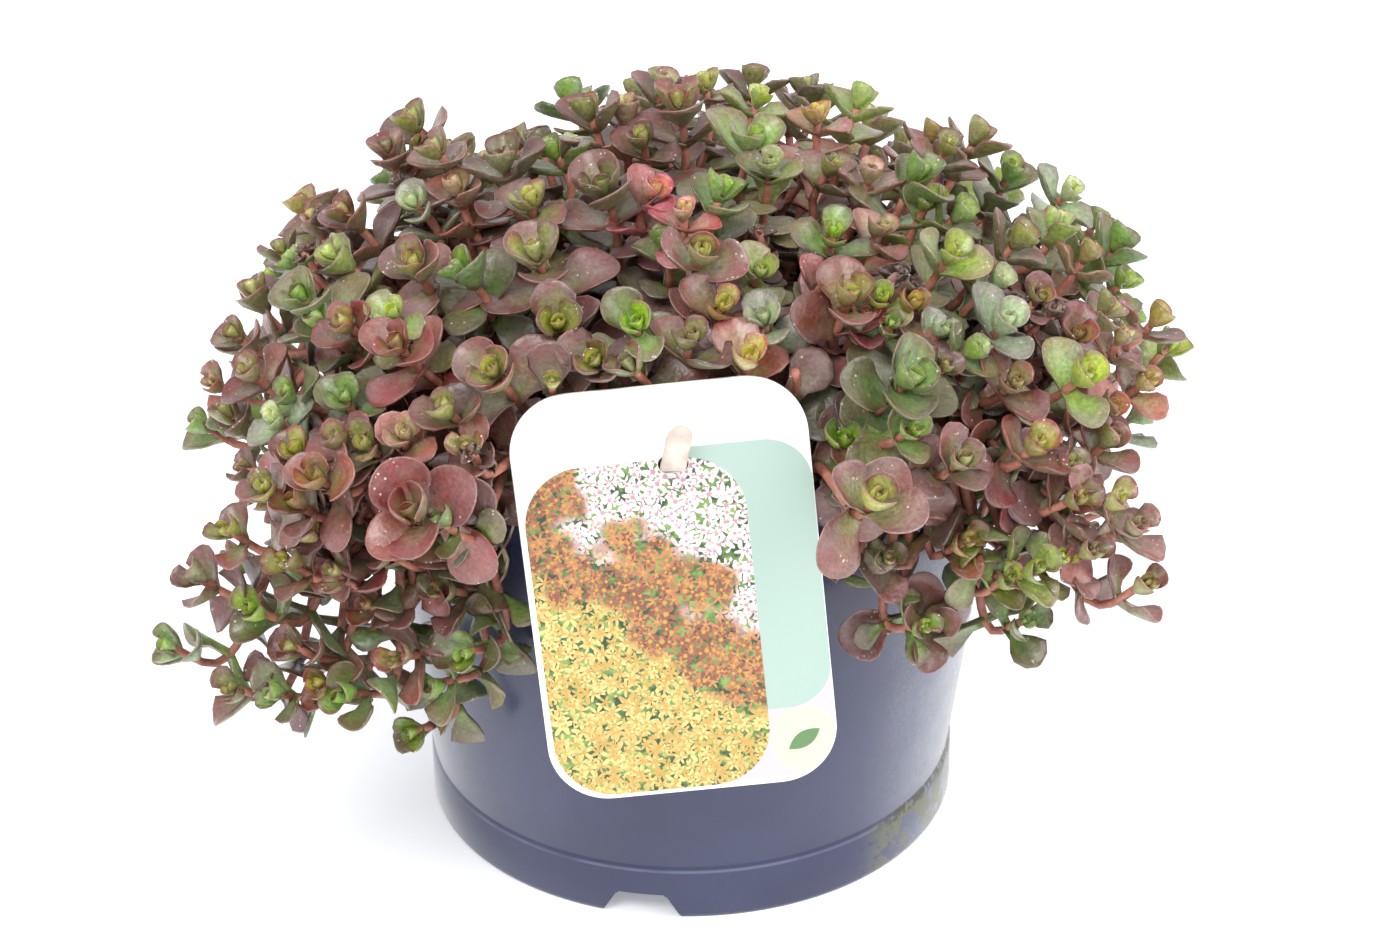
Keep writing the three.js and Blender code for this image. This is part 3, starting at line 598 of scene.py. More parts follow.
def ripe_colour(nodes, tint, blotch):
    """From the bud's colour to the grown one's, with age and towards the tip, redder where tanned
    and less ripe below."""
    grown, foot, bud, _, under = [srgb(*each) for each in LEAF_COLOURS[tint]]
    along, edge, age = nodes.split(nodes.attribute("leaf"))
    _, below, tan = nodes.split(nodes.attribute("mood"))
    rimward = nodes.times(nodes.math("POWER", edge, 3.0), 0.3)
    ripe = nodes.plus(nodes.times(along, 0.5), nodes.times(age, 0.5))
    ripe = nodes.plus(ripe, nodes.plus(rimward, nodes.times(blotch, 0.4)))
    ripe = nodes.minus(ripe, nodes.times(below, 0.28))
    ripe = nodes.plus(ripe, nodes.times(tan, 0.12))
    grown = nodes.mix(nodes.times(tan, 0.6), grown, srgb(*TANNED_LEAF))
    young = nodes.mix(nodes.step(age, 0.1, 0.6), bud, foot)
    base = nodes.mix(nodes.step(ripe, 0.68, 1.06), young, grown)
    return nodes.mix(nodes.times(below, nodes.step(along, 0.3, 0.9, 0.7, 0.25)), base, under)


def shaded(nodes, base):
    """Speckles, a tone of each leaf's own, darker inside the rim and on the oldest leaves, and drifts
    of hue and strength. The darkening of the oldest leaves, low on the stems deep in the mound, is
    partly ageing and partly painted shade."""
    _, edge, age = nodes.split(nodes.attribute("leaf"))
    varied, _, _ = nodes.split(nodes.attribute("mood"))
    speckle = nodes.step(nodes.noise(1300, detail=5, rough=0.7), 0.36, 0.64, 0.78, 1.19)
    tone = nodes.times(nodes.step(varied, 0, 1, 0.66, 1.3), speckle)
    # Painted shade as well as ageing: the oldest leaves, low on the stems inside the mound, are
    # darkened to half.
    tone = nodes.times(tone, nodes.step(age, 0.9, 1.5, 1, 0.5))
    tone = nodes.times(tone, nodes.step(edge, 0.5, 0.93, 1.04, 0.84))
    vivid = nodes.step(nodes.noise(110, detail=2), 0.36, 0.64, 0.74, 1.0)
    vivid = nodes.plus(vivid, nodes.step(age, 0.1, 0.7, 0.14, 0))
    shade = nodes.add("ShaderNodeHueSaturation")
    nodes.link(nodes.step(nodes.noise(75, detail=2), 0.35, 0.65, 0.484, 0.506), shade.inputs["Hue"])
    nodes.link(vivid, shade.inputs["Saturation"])
    nodes.link(tone, shade.inputs["Value"])
    nodes.link(base, shade.inputs["Color"])
    return shade.outputs["Color"]


def leaf_material(tint):
    """Fleshy leaf: ripening colours with a thin paler rim, a grey bloom, speckles, pale dots and
    a waxy gloss."""
    nodes = Nodes(f"sedum_leaf_{tint}")
    _, edge, age = nodes.split(nodes.attribute("leaf"))
    blotch = nodes.noise(380, detail=4)
    base = ripe_colour(nodes, tint, blotch)
    base = nodes.mix(nodes.step(edge, 0.95, 1.0, 0, 0.66), base, srgb(*LEAF_COLOURS[tint][3]))
    bloom = nodes.step(nodes.noise(150, detail=2), 0.42, 0.68, 0, 0.16)
    base = shaded(nodes, nodes.mix(nodes.times(bloom, age), base, srgb(*GREY_BLOOM)))
    dots = nodes.step(nodes.cells(800).outputs["Distance"], 0.12, 0.2, 1, 0)
    chosen = nodes.step(nodes.noise(210, detail=2), 0.52, 0.62)
    dots = nodes.times(nodes.times(dots, chosen), 0.8)
    nodes.colour(nodes.mix(dots, base, srgb(*PALE_DOT)))
    nodes.set(Roughness=nodes.step(blotch, 0.3, 0.7, 0.3, 0.44))
    nodes.set(Subsurface_Weight=0.1, Subsurface_Scale=0.002, Coat_Weight=0.5, Coat_Roughness=0.28)
    nodes.shader.inputs["Subsurface Radius"].default_value = (1.0, 0.6, 0.3)
    relief = nodes.plus(nodes.noise(1600, detail=2), nodes.times(nodes.noise(300, detail=2), 4.0))
    nodes.bump(relief, 0.0002, 0.6)
    return nodes.material


def stem_material():
    nodes = Nodes("sedum_stem")
    streak = nodes.noise(260, detail=4)
    base = nodes.mix(nodes.step(streak, 0.35, 0.65), srgb(140, 80, 68), srgb(184, 122, 104))
    nodes.colour(nodes.mix(nodes.step(nodes.noise(900), 0.55, 0.7, 0, 0.4), base, srgb(194, 160, 130)))
    nodes.set(Roughness=0.5)
    nodes.bump(nodes.noise(900, detail=4), 0.0003, 0.5)
    return nodes.material


def strand_material():
    """Dry strands, bleached in places."""
    nodes = Nodes("dry_strand")
    bleached = nodes.step(nodes.noise(120, detail=3), 0.4, 0.6)
    nodes.colour(nodes.mix(bleached, srgb(104, 80, 62), srgb(176, 158, 134)))
    nodes.set(Roughness=0.7)
    nodes.bump(nodes.noise(1500, detail=3), 0.0002, 0.5)
    return nodes.material


def soil_material():
    nodes = Nodes("potting_soil")
    lumps = nodes.noise(260, detail=8, rough=0.7)
    base = nodes.mix(nodes.step(lumps, 0.3, 0.7), srgb(20, 16, 14), srgb(62, 46, 36))
    fibre = nodes.step(nodes.noise(1400, detail=2), 0.66, 0.74, 0, 0.55)
    nodes.colour(nodes.mix(fibre, base, srgb(128, 98, 70)))
    nodes.set(Roughness=0.95)
    nodes.bump(nodes.noise(700, detail=8, rough=0.75), 0.002)
    return nodes.material


def dust_and_painted_sheen(nodes, base, x):
    """Dust specks, and a pale film at the pot's right and a little at its left edge: partly dry dust,
    partly painted sheen that lightens the pot towards its side edges.
    """
    dust_and_sheen_reach = nodes.plus(nodes.within(x, DUST_AND_SHEEN_RIGHT), nodes.within(x, DUST_AND_SHEEN_LEFT, 0.4, 0))
    specks = nodes.step(nodes.cells(900).outputs["Distance"], 0.12, 0.24, 1, 0)
    dust = nodes.times(nodes.times(specks, nodes.step(nodes.noise(300), 0.5, 0.62)), dust_and_sheen_reach)
    # Painted sheen as well as a dry film: a pale grey layer that lightens the pot towards its right
    # edge, and a little its left.
    film_and_sheen = nodes.times(nodes.step(nodes.noise(120, detail=6), 0.3, 0.75, 0.5, 1), dust_and_sheen_reach)
    grain = nodes.step(nodes.noise(1300, detail=4, rough=0.7), 0.38, 0.64, 0.5, 1.05)
    film_and_sheen = nodes.times(nodes.times(film_and_sheen, grain), 0.74)
    base = nodes.mix(film_and_sheen, base, srgb(178, 182, 194))
    return nodes.mix(nodes.times(dust, 0.5), base, srgb(190, 190, 190))


def algae_cover(nodes, x, y, above_ledge):
    """Patches on the skirt below the ledge, at the right, and thinner behind."""
    patch = nodes.step(nodes.noise(240, detail=6, rough=0.65), 0.48, 0.53)
    algae = nodes.times(nodes.within(above_ledge, ALGAE_TOP, 1, 0), patch)
    algae = nodes.times(algae, nodes.within(x, ALGAE_RIGHT))
    return nodes.times(algae, nodes.within(y, ALGAE_BACK, 0.75, 0.3))


def pot_material():
    """Moulded slate-blue plastic with dust and some painted sheen towards its sides, a painted
    highlight along the ledge, and algae and a crust about it at the right."""
    nodes = Nodes("pot_plastic")
    x, y, z = nodes.split(nodes.place())
    above_ledge = nodes.minus(z, LEDGE_Z * MM)
    from_ledge = nodes.math("ABSOLUTE", above_ledge)
    cloud = nodes.noise(35, detail=3)
    base = nodes.mix(nodes.step(cloud, 0.3, 0.7), srgb(50, 53, 82), srgb(56, 60, 90))
    base = dust_and_painted_sheen(nodes, base, x)
    # Painted highlight: a thin pale line along the ledge's edge, where the light catches it.
    ledge_highlight = nodes.within(from_ledge, LEDGE_HIGHLIGHT, 1, 0)
    ledge_highlight = nodes.times(ledge_highlight, nodes.step(nodes.noise(60), 0.3, 0.6, 0.1, 0.4))
    base = nodes.mix(ledge_highlight, base, srgb(134, 140, 168))
    algae = algae_cover(nodes, x, y, above_ledge)
    base = nodes.mix(algae, base, srgb(112, 112, 72))
    crust = nodes.times(nodes.within(from_ledge, CRUST_BAND, 1, 0), nodes.within(x, CRUST_RIGHT))
    crust = nodes.times(crust, nodes.step(nodes.noise(800, detail=4), 0.42, 0.52))
    nodes.colour(nodes.mix(nodes.times(crust, 0.9), base, srgb(66, 64, 48)))
    nodes.set(Sheen_Weight=1.0, Sheen_Roughness=0.34)
    rough = nodes.plus(0.2, nodes.times(cloud, 0.12))
    nodes.set(Roughness=nodes.math("ADD", rough, nodes.times(algae, 0.4), clamp=True))
    nodes.bump(nodes.noise(2200, detail=2), 0.00006, 0.5)
    return nodes.material


def hook_material():
    nodes = Nodes("hook_plastic")
    milk = nodes.noise(300, detail=3)
    nodes.colour(nodes.mix(nodes.step(milk, 0.3, 0.7), srgb(188, 176, 166), srgb(212, 202, 192)))
    nodes.set(Roughness=0.3, Subsurface_Weight=0.3, Subsurface_Scale=0.002)
    nodes.bump(nodes.noise(800), 0.0001, 0.3)
    return nodes.material


def floor_material():
    nodes = Nodes("pale_floor")
    drift = nodes.step(nodes.noise(4), 0.3, 0.7)
    nodes.colour(nodes.mix(drift, srgb(244, 246, 250), srgb(250, 251, 253)))
    nodes.set(Roughness=0.6, Emission_Color=(0.93, 0.96, 1, 1), Emission_Strength=0.27)
    return nodes.material


# Meshes


def mesh_piece(name, points, faces, materials, indices=None, attributes=None):
    """A piece of the object from points in millimetres, riding on the pot's body."""
    mesh = bpy.data.meshes.new(name)
    mesh.from_pydata((np.asarray(points) * MM).tolist(), [], faces)
    for material in materials:
        mesh.materials.append(material)
    if indices is not None:
        mesh.polygons.foreach_set("material_index", indices)
    for key, values in (attributes or {}).items():
        layer = mesh.attributes.new(key, "FLOAT_VECTOR", "POINT")
        layer.data.foreach_set("vector", np.asarray(values, np.float32).ravel())
    mesh.shade_smooth()
    mesh.validate()
    piece = add_object(name, mesh)
    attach(piece, "root")
    return piece


# The mound and its shoots, by the rules of the part's source


def sight_line(across, up):
    right, top, _ = view_axes()
    ray = np.array([0, 0, POT_HEIGHT]) - EYE + right * across + top * up
    return unit(ray)


def tip_on_mound(across, up, lift):
    """Where the line of sight first meets the mound, or the mound's edge nearest to it."""
    size = np.array([MOUND_RADIUS, MOUND_RADIUS, MOUND_RISE])
    centre = np.array([0, 0, MOUND_Z])
    start = (EYE - centre) / size
    step = sight_line(across, up) / size
    half = start @ step / (step @ step)
    rest = (start @ start - lift * lift) / (step @ step)
    reach = -half - math.sqrt(max(half * half - rest, 0))
    return unit(start + step * reach) * lift * size + centre


def tip_at_reach(across, up, reach):
    """Where the line of sight comes this near to the pot's axis."""
    ray = sight_line(across, up)
    flat = ray[0] ** 2 + ray[1] ** 2
    half = (EYE[0] * ray[0] + EYE[1] * ray[1]) / flat
    rest = (EYE[0] ** 2 + EYE[1] ** 2 - reach * reach) / flat
    return EYE + ray * (-half - math.sqrt(max(half * half - rest, 0)))


def shoot_axis(tip, hangs, draw):
    """The direction a shoot's tip points in."""
    if hangs:
        drop = POT_HEIGHT - tip[2] - math.hypot(tip[0], tip[1]) + RIM_RADIUS
        steep = min(max(drop / TRAILING_DROP, 0), 1)
        axis = unit(np.array([tip[0], tip[1], 0])) * TRAILING_OUT
        axis[2] = TRAILING_RISE - TRAILING_SAG * steep
    else:
        axis = np.array([tip[0] / MOUND_RADIUS, tip[1] / MOUND_RADIUS, 1])
    axis[0] += AXIS_WOBBLE * (draw() - 0.5)
    axis[1] += AXIS_WOBBLE * (draw() - 0.5)
    return unit(axis)


def shoot_to(tip, tint, leaf, draw):
    hangs = tip[2] < POT_HEIGHT
    axis = shoot_axis(tip, hangs, draw)
    return {
        "tip": tip,
        "tint": tint,
        "leaf": leaf,
        "draw": draw,
        "hangs": hangs,
        "axis": axis,
        "sway": np.zeros(3),
    }


def seen_shoots(rows, first, low, spread):
    shoots = []
    for number, (tint, across, up, leaf, *reach) in enumerate(rows):
        draw = random_from(first + number)
        lift = low + spread * draw()
        tip = tip_at_reach(across, up, reach[0]) if reach else tip_on_mound(across, up, lift)
        shoots.append(shoot_to(tip, tint, leaf, draw))
    return shoots


def hollow_at(tip):
    """How far the mound is lowered here by its hollows."""
    depths = []
    for x, y, depth, width in HOLLOWS:
        away = math.hypot(tip[0] - x, tip[1] - y) / width
        depths.append(depth * math.exp(-0.5 * away * away))
    return max(depths)


def spiral_tip(rise, turn, size=1.0):
    flat = math.sqrt(1 - rise * rise)
    around = np.array([flat * math.cos(turn), flat * math.sin(turn), rise])
    tip = around * [MOUND_RADIUS, MOUND_RADIUS, MOUND_RISE] * size + [0, 0, MOUND_Z]
    return tip - [0, 0, hollow_at(tip)]


def nearest(tip, shoots):
    return min(np.linalg.norm(shoot["tip"] - tip) for shoot in shoots)


def node_shoots():
    """The shoots that are nodes of the part, in its order."""
    tints = ["bronze", "green", "bronze", "red", "lime", "bronze", "orange"]
    shoots = seen_shoots(SEEN_SHOOTS, 0, 0.98, 0.05)
    for step in range(FILL_STEPS):
        rise = FILL_TOP - (FILL_TOP - FILL_LOW) * step / FILL_STEPS
        tip = spiral_tip(rise, math.radians(step * GOLDEN_ANGLE))
        if len(shoots) == SHOOT_COUNT or nearest(tip, shoots) < SHOOT_SPACING or tip[1] < 0:
            continue
        draw = random_from(len(shoots))
        leaf = 10 + 1.5 * draw()
        shoots.append(shoot_to(tip, tints[len(shoots) % len(tints)], leaf, draw))
    return shoots


def is_behind_label(tip):
    beside = abs(tip[0]) < LABEL_WIDTH / 2 + SHADE_BESIDE
    return beside and tip[1] < -RIM_RADIUS + SHADE_INSIDE and tip[2] < SHADE_TOP


def is_blocked(points):
    """Whether any of the points is in the label, the pot's wall or the soil, or nearly so."""
    across, up, front = np.array(LABEL_AXES) @ (points - LABEL_CENTRE).T
    beside = abs(across) < LABEL_WIDTH / 2 + GAP_BESIDE
    beside &= abs(up) < LABEL_HEIGHT / 2 + GAP_BESIDE
    in_label = beside & (front > -LABEL_THICKNESS - GAP_BEHIND) & (front < LABEL_FREE)
    radius = np.hypot(points[:, 0], points[:, 1])
    height = points[:, 2]
    collar = POT_HEIGHT - RIM_HEIGHT
    wall = BASE_RADIUS + (NECK_RADIUS - BASE_RADIUS) * height / collar
    wall = np.where(height > collar - GAP_COLLAR, RIM_RADIUS, wall)
    inside = wall - RIM_RADIUS + NECK_RADIUS - WALL
    in_wall = (radius < wall + GAP_WALL) & (radius > inside - GAP_WALL)
    in_wall &= height < POT_HEIGHT + GAP_RIM
    in_soil = (height < SOIL_Z + GAP_SOIL) & (radius < wall)
    return bool((in_label | in_wall | in_soil).any())


def small_shoots(nodes):
    """Smaller shoots: those seen from the front, then a spiral that fills what is left."""
    tints = ["bronze", "green", "bronze", "red", "bronze", "lime", "orange", "bronze", "mint"]
    shoots = seen_shoots(SMALL_SHOOTS, len(nodes), SMALL_LOW, SMALL_SPREAD)
    shoots += seen_shoots(TALL_SHOOTS, len(nodes) + len(shoots), TALL_LOW, SMALL_SPREAD)
    for step in range(FILL_SMALL_STEPS):
        rise = FILL_TOP - (FILL_TOP - FILL_SMALL_LOW) * step / FILL_SMALL_STEPS
        turn = math.radians(step * GOLDEN_ANGLE)
        tip = spiral_tip(rise, turn, FILL_SMALL_LIFT + FILL_SMALL_UNEVEN * (step * GOLDEN_SHARE % 1))
        spacing = FILL_SMALL_SPACING if tip[1] > 0 else FILL_SMALL_FRONT_SPACING
        if nearest(tip, nodes + shoots) < spacing or is_behind_label(tip):
            continue
        draw = random_from(len(nodes) + len(shoots))
        leaf = 8 + 2 * draw()
        shoots.append(shoot_to(tip, tints[len(shoots) % len(tints)], leaf, draw))
    for shoot in shoots:
        sway = np.array([shoot["draw"]() - 0.5, shoot["draw"]() - 0.5, 0])
        shoot["sway"] = SMALL_SWAY * sway
        if not shoot["hangs"]:
            shoot["axis"] = unit(shoot["axis"] + SMALL_TILT * sway)
    return shoots


def catmull_rom(points, per_span):
    """A centripetal Catmull-Rom curve through the points."""
    ends = [2 * points[0] - points[1], *points, 2 * points[-1] - points[-2]]
    curve = []
    for p0, p1, p2, p3 in zip(ends, ends[1:], ends[2:], ends[3:]):
        gaps = [max(np.linalg.norm(b - a) ** 0.5, 1e-4) for a, b in ((p0, p1), (p1, p2), (p2, p3))]
        leave = (p1 - p0) / gaps[0] - (p2 - p0) / (gaps[0] + gaps[1]) + (p2 - p1) / gaps[1]
        arrive = (p2 - p1) / gaps[1] - (p3 - p1) / (gaps[1] + gaps[2]) + (p3 - p2) / gaps[2]
        leave, arrive = leave * gaps[1], arrive * gaps[1]
        for step in range(per_span):
            t = step / per_span
            curve.append(
                (2 * t**3 - 3 * t**2 + 1) * p1
                + (t**3 - 2 * t**2 + t) * leave
                + (-2 * t**3 + 3 * t**2) * p2
                + (t**3 - t**2) * arrive
            )
    return np.array([*curve, points[-1]])


def stem_line(shoot):
    """Points along a stem at even steps, from inside the soil to the tip."""
    tip = shoot["tip"]
    reach = math.hypot(tip[0], tip[1])
    out = np.array([tip[0] / reach, tip[1] / reach, 0])
    root = min(ROOT_RADIUS, ROOT_RADIUS * reach / (MOUND_RADIUS - ROOT_EDGE))
    foot = out * root + UP * (SOIL_Z - ROOT_DEPTH + FOOT_RISE)
    collar = out * root + UP * (SOIL_Z + COLLAR_RISE)
    neck = tip - shoot["axis"] * (TRAILING_NECK if shoot["hangs"] else NECK)
    if shoot["hangs"]:
        bends = [out * (RIM_RADIUS + past) + UP * (POT_HEIGHT + above) for past, above in OVER_RIM]
    elif reach > RIM_RADIUS + WIDE_REACH:
        crest = max(POT_HEIGHT + CREST_OVER_RIM, SOIL_Z + CREST_SHARE * (tip[2] - SOIL_Z))
        bends = [out * (RIM_RADIUS - 1) + UP * crest]
    else:
        middle = SOIL_Z + MIDDLE_SHARE * (tip[2] - SOIL_Z)
        bends = [out * (root + reach) / 2 + UP * middle + shoot["sway"]]
    dense = np.vstack([foot[None], catmull_rom([collar, *bends, neck, tip], 16)])
    spans = np.linalg.norm(np.diff(dense, axis=0), axis=1)
    run = np.concatenate([[0], np.cumsum(spans)])
    stops = np.linspace(0, run[-1], max(6, round(run[-1] / STEM_RING_STEP)))
    return np.stack([np.interp(stops, run, dense[:, axis]) for axis in range(3)], 1), stops


def stem_frames(line, turn):
    """Tangent and the two sideways directions at each point, carried along without twist."""
    tangents = np.gradient(line, axis=0)
    tangents /= np.linalg.norm(tangents, axis=1)[:, None]
    side = turned_about(RIGHT, UP, turn)
    sides = []
    for tangent in tangents:
        side = unit(side - tangent * (side @ tangent))
        sides.append(side)
    sides = np.array(sides)
    return tangents, sides, np.cross(tangents, sides)


class Foliage:
    """Collects the stems and leaves of one or more shoots into one mesh."""

    def __init__(self):
        self.points = []
        self.faces = []
        self.indices = []
        self.leaf = []
        self.mood = []
        self.count = 0

    def add(self, points, faces, index, leaf, mood):
        self.points.append(points)
        self.faces.extend([[corner + self.count for corner in face] for face in faces])
        self.indices.extend([index] * len(faces))
        self.leaf.append(leaf)
        self.mood.append(mood)
        self.count += len(points)

    def piece(self, name, tint, stems):
        attributes = {"leaf": np.vstack(self.leaf), "mood": np.vstack(self.mood)}
        materials = [LEAF_MATERIALS[tint], stems]
        points = np.vstack(self.points)
        return mesh_piece(name, points, self.faces, materials, self.indices, attributes)


def grid_faces(rows, columns, first, flip):
    """Four-cornered faces of a grid of points numbered row by row from first."""
    faces = []
    for row in range(rows - 1):
        for column in range(columns - 1):
            low = first + row * columns + column
            face = [low, low + 1, low + columns + 1, low + columns]
            faces.append(face[::-1] if flip else face)
    return faces


def leaf_template(widths, every, columns):
    """A leaf's shares along, across and of its half width, once above and once below, with
    its closed skin's faces. It has every so many rows of the outline."""
    along = np.array(OUTLINE_STEPS[::every])
    width = np.array(widths[::every])
    columns = np.array(columns, float)
    rows, across = len(along), len(columns)
    grid_along = np.repeat(along, across)
    grid_across = np.tile(columns, rows)
    grid_width = np.repeat(width, across)
    upper = grid_faces(rows, across, 0, True)
    lower = grid_faces(rows, across, rows * across, False)
    merged = {}
    for row in range(rows):
        for column in (0, across - 1):
            merged[(rows + row) * across + column] = row * across + column
    faces = upper + [[merged.get(corner, corner) for corner in face] for face in lower]
    for ends in (0, rows - 1):
        top = [ends * across + column for column in range(across)]
        under = [(rows + ends) * across + column for column in range(across)]
        bottom = [merged.get(corner, corner) for corner in under]
        for column in range(across - 1):
            cap = [top[column], top[column + 1], bottom[column + 1], bottom[column]]
            cap = list(dict.fromkeys(cap))
            faces.append(cap if ends == 0 else cap[::-1])
    used = sorted({corner for face in faces for corner in face})
    number = {corner: order for order, corner in enumerate(used)}
    faces = [[number[corner] for corner in face] for face in faces]
    below = np.repeat([0.0, 1.0], rows * across)
    keep = np.array(used)
    return {
        "along": np.tile(grid_along, 2)[keep],
        "across": np.tile(grid_across, 2)[keep],
        "width": np.tile(grid_width, 2)[keep],
        "below": below[keep],
        "faces": faces,
    }


def leaf_points(template, length, slim, cup, curl, thickness):
    """The template as a spoon of this length: cup lifts its sides, curl its tip, and the
    foot clasps the stem."""
    u, v, width = template["along"], template["across"], template["width"]
    half = length * slim * LEAF_WIDTH / 2
    bow = 0.06 * v**2 * u * (1 - u)
    x = (u - bow) * length
    y = v * width * half
    clasp = 0.28 * half * v**2 * np.clip(1 - u / 0.4, 0, 1)
    lift = cup * half * (v * width) ** 2 + curl * length * u**2 + clasp
    blunt = np.sqrt(1 - 0.95 * np.clip((u - 0.6) / 0.4, 0, 1) ** 6)
    body = np.sqrt(np.clip(1 - v**4, 0, 1)) * blunt * thickness * (0.6 + 0.4 * np.sin(np.pi * u**0.8))
    z = lift + body * (0.35 - template["below"])
    return np.stack([x, y, z], 1)


def add_leaf(foliage, template, points, age, varied, tan):
    edge = np.maximum(np.abs(template["across"]), np.clip((template["along"] - 0.8) * 5, 0, 1))
    count = len(points)
    leaf = np.stack([template["along"], edge, np.full(count, age)], 1)
    mood = np.stack([np.full(count, varied), template["below"], np.full(count, tan)], 1)
    foliage.add(points, template["faces"], 0, leaf, mood)


def add_stem(foliage, line, frames, radii):
    _, sides, seconds = frames
    angles = np.linspace(0, 2 * np.pi, STEM_SIDES, endpoint=False)
    rings = (
        line[:, None]
        + radii[:, None, None] * np.cos(angles)[None, :, None] * sides[:, None]
        + radii[:, None, None] * np.sin(angles)[None, :, None] * seconds[:, None]
    )
    points = rings.reshape(-1, 3)
    faces = []
    for ring in range(len(line) - 1):
        for corner in range(STEM_SIDES):
            low = ring * STEM_SIDES + corner
            next_low = ring * STEM_SIDES + (corner + 1) % STEM_SIDES
            faces.append([low, next_low, next_low + STEM_SIDES, low + STEM_SIDES])
    last = (len(line) - 1) * STEM_SIDES
    faces.append(list(range(STEM_SIDES))[::-1])
    faces.append([last + corner for corner in range(STEM_SIDES)])
    none = np.zeros((len(points), 3))
    foliage.add(points, faces, 1, none, none)


def pairs_of(shoot, length, stretch):
    spread = stretch * (TRAILING_SPREAD if shoot["hangs"] else 1)
    pairs = [(spread * below, *rest) for below, *rest in PAIRS]
    pairs = [pair for pair in pairs if pair[0] < length - BARE_STEM]
    if shoot["hangs"]:
        for _ in range(TRAILING_PAIRS):
            below = pairs[-1][0] + TRAILING_PAIR_STEP
            if below < length - BARE_STEM:
                pairs.append((below, *TRAILING_PAIR))
    return pairs


# Changes tried in turn for a leaf that is blocked: degrees added to its angle, degrees
# turned round the stem, and share of its size kept.
LEAF_SHIFTS = [
    (0, 0, 1),
    (-15, 0, 1),
    (12, 0, 1),
    (0, 25, 1),
    (0, -25, 1),
    (-30, 0, 0.9),
    (-15, 30, 0.9),
    (-15, -30, 0.9),
    (-40, 0, 0.75),
]


def leaf_axes(tangent, side, spin, lean, roll, light):
    """A leaf's axes, along, across and up, and the direction it leaves the stem in."""
    away = turned_about(side, tangent, spin)
    sine, cosine = math.sin(math.radians(lean)), math.cos(math.radians(lean))
    along = away * sine + tangent * cosine
    up = tangent * sine - away * cosine + UP * light
    up = unit(up - along * (up @ along))
    across = np.cross(up, along)
    across, up = turned_about(across, along, roll), turned_about(up, along, roll)
    return np.array([along, across, up]), away


def drawn_habit(shoot, rng, fine):
    """What the leaves of one shoot share: how they grow, their tone, how tanned, ripe and open
    they are, and how far apart."""
    habit = TRAILING if shoot["hangs"] else UPRIGHT
    return {
        **habit,
        "leaf": shoot["leaf"],
        "dry": shoot["tint"] == "dry",
        "mood": rng.uniform(0.25, 0.75),
        "tan": rng.uniform(*habit["tan"]) * (GREEN_TAN if shoot["tint"] in GREEN_TINTS else 1),
        "mature": rng.uniform(0, 0.4),
        "openness": rng.uniform(0.8, 1.2),
        "stretch": rng.uniform(0.9, 1.4 if fine else 1.5),
        "ageing": TRAILING_AGEING.get(shoot["tint"], 1) if shoot["hangs"] else 1,
    }


def drawn_leaf(habit, size, angle, age, rng):
    """One leaf's turn, angles, length, bend and tone, drawn about those of its pair."""
    grown = min(age, 1)
    leaf = {
        "spin": rng.normal(0, 6),
        "lean": angle * habit["openness"] + rng.normal(0, 2 + 5 * grown),
        "roll": rng.normal(0, 4 + habit["roll"] * grown),
        "length": habit["size"] * habit["leaf"] * size * rng.uniform(0.88, 1.1),
        "cup": 0.72 - habit["flatten"] * grown + rng.normal(0, 0.1),
        "curl": 0.26 - 0.56 * age**1.2 + rng.normal(0, 0.06),
        "light": habit["light"] * grown,
        "shown": (age + habit["mature"] * max(1 - age, 0)) * habit["ageing"],
    }
    if habit["dry"]:
        leaf["cup"], leaf["curl"] = rng.normal(1.2, 0.5), rng.normal(0, 0.5)
    leaf["varied"] = min(max(habit["mood"] + rng.normal(0, 0.16), 0), 1)
    return leaf


def place_leaf(foliage, template, foot, leaf, habit):
    """Adds the leaf to the stem with the first of the shifts at which nothing blocks it."""
    at, tangent, side, radius = foot
    length, cup, curl = leaf["length"], leaf["cup"], leaf["curl"]
    thickness = LEAF_THICKNESS * (0.55 + 0.45 * min(length / 8, 1.3))
    local = leaf_points(template, length, habit["slim"], cup, curl, thickness)
    for more_lean, more_spin, share in LEAF_SHIFTS:
        spin, lean = leaf["spin"] + more_spin, leaf["lean"] + more_lean
        axes, away = leaf_axes(tangent, side, spin, lean, leaf["roll"], leaf["light"])
        points = at + away * radius * LEAF_OUTSET + share * local @ axes
        if not is_blocked(points):
            add_leaf(foliage, template, points, leaf["shown"], leaf["varied"], habit["tan"])
            return


def stem_radius(share):
    return STEM_RADIUS * (1 - STEM_TAPER * share)


def grow(foliage, shoot, rng, fine):
    """Adds the stem and the pairs of leaves of one shoot, each pair across the one above."""
    line, stops = stem_line(shoot)
    frames = stem_frames(line, 90 * shoot["draw"]())
    tangents, sides, _ = frames
    total = stops[-1]
    add_stem(foliage, line, frames, stem_radius(stops / total))
    habit = drawn_habit(shoot, rng, fine)
    for order, (below, size, angle, age) in enumerate(pairs_of(shoot, total, habit["stretch"])):
        stop = total - below
        at = np.array([np.interp(stop, stops, line[:, axis]) for axis in range(3)])
        index = min(int(np.searchsorted(stops, stop)), len(stops) - 1)
        foot = (at, tangents[index], sides[index], stem_radius(stop / total))
        template = TEMPLATES[bool(shoot["hangs"]), fine and age > 0]
        for face in (order % 2, order % 2 + 2):
            leaf = drawn_leaf(habit, size, angle, age, rng)
            leaf["spin"] += 90 * face
            place_leaf(foliage, template, foot, leaf, habit)


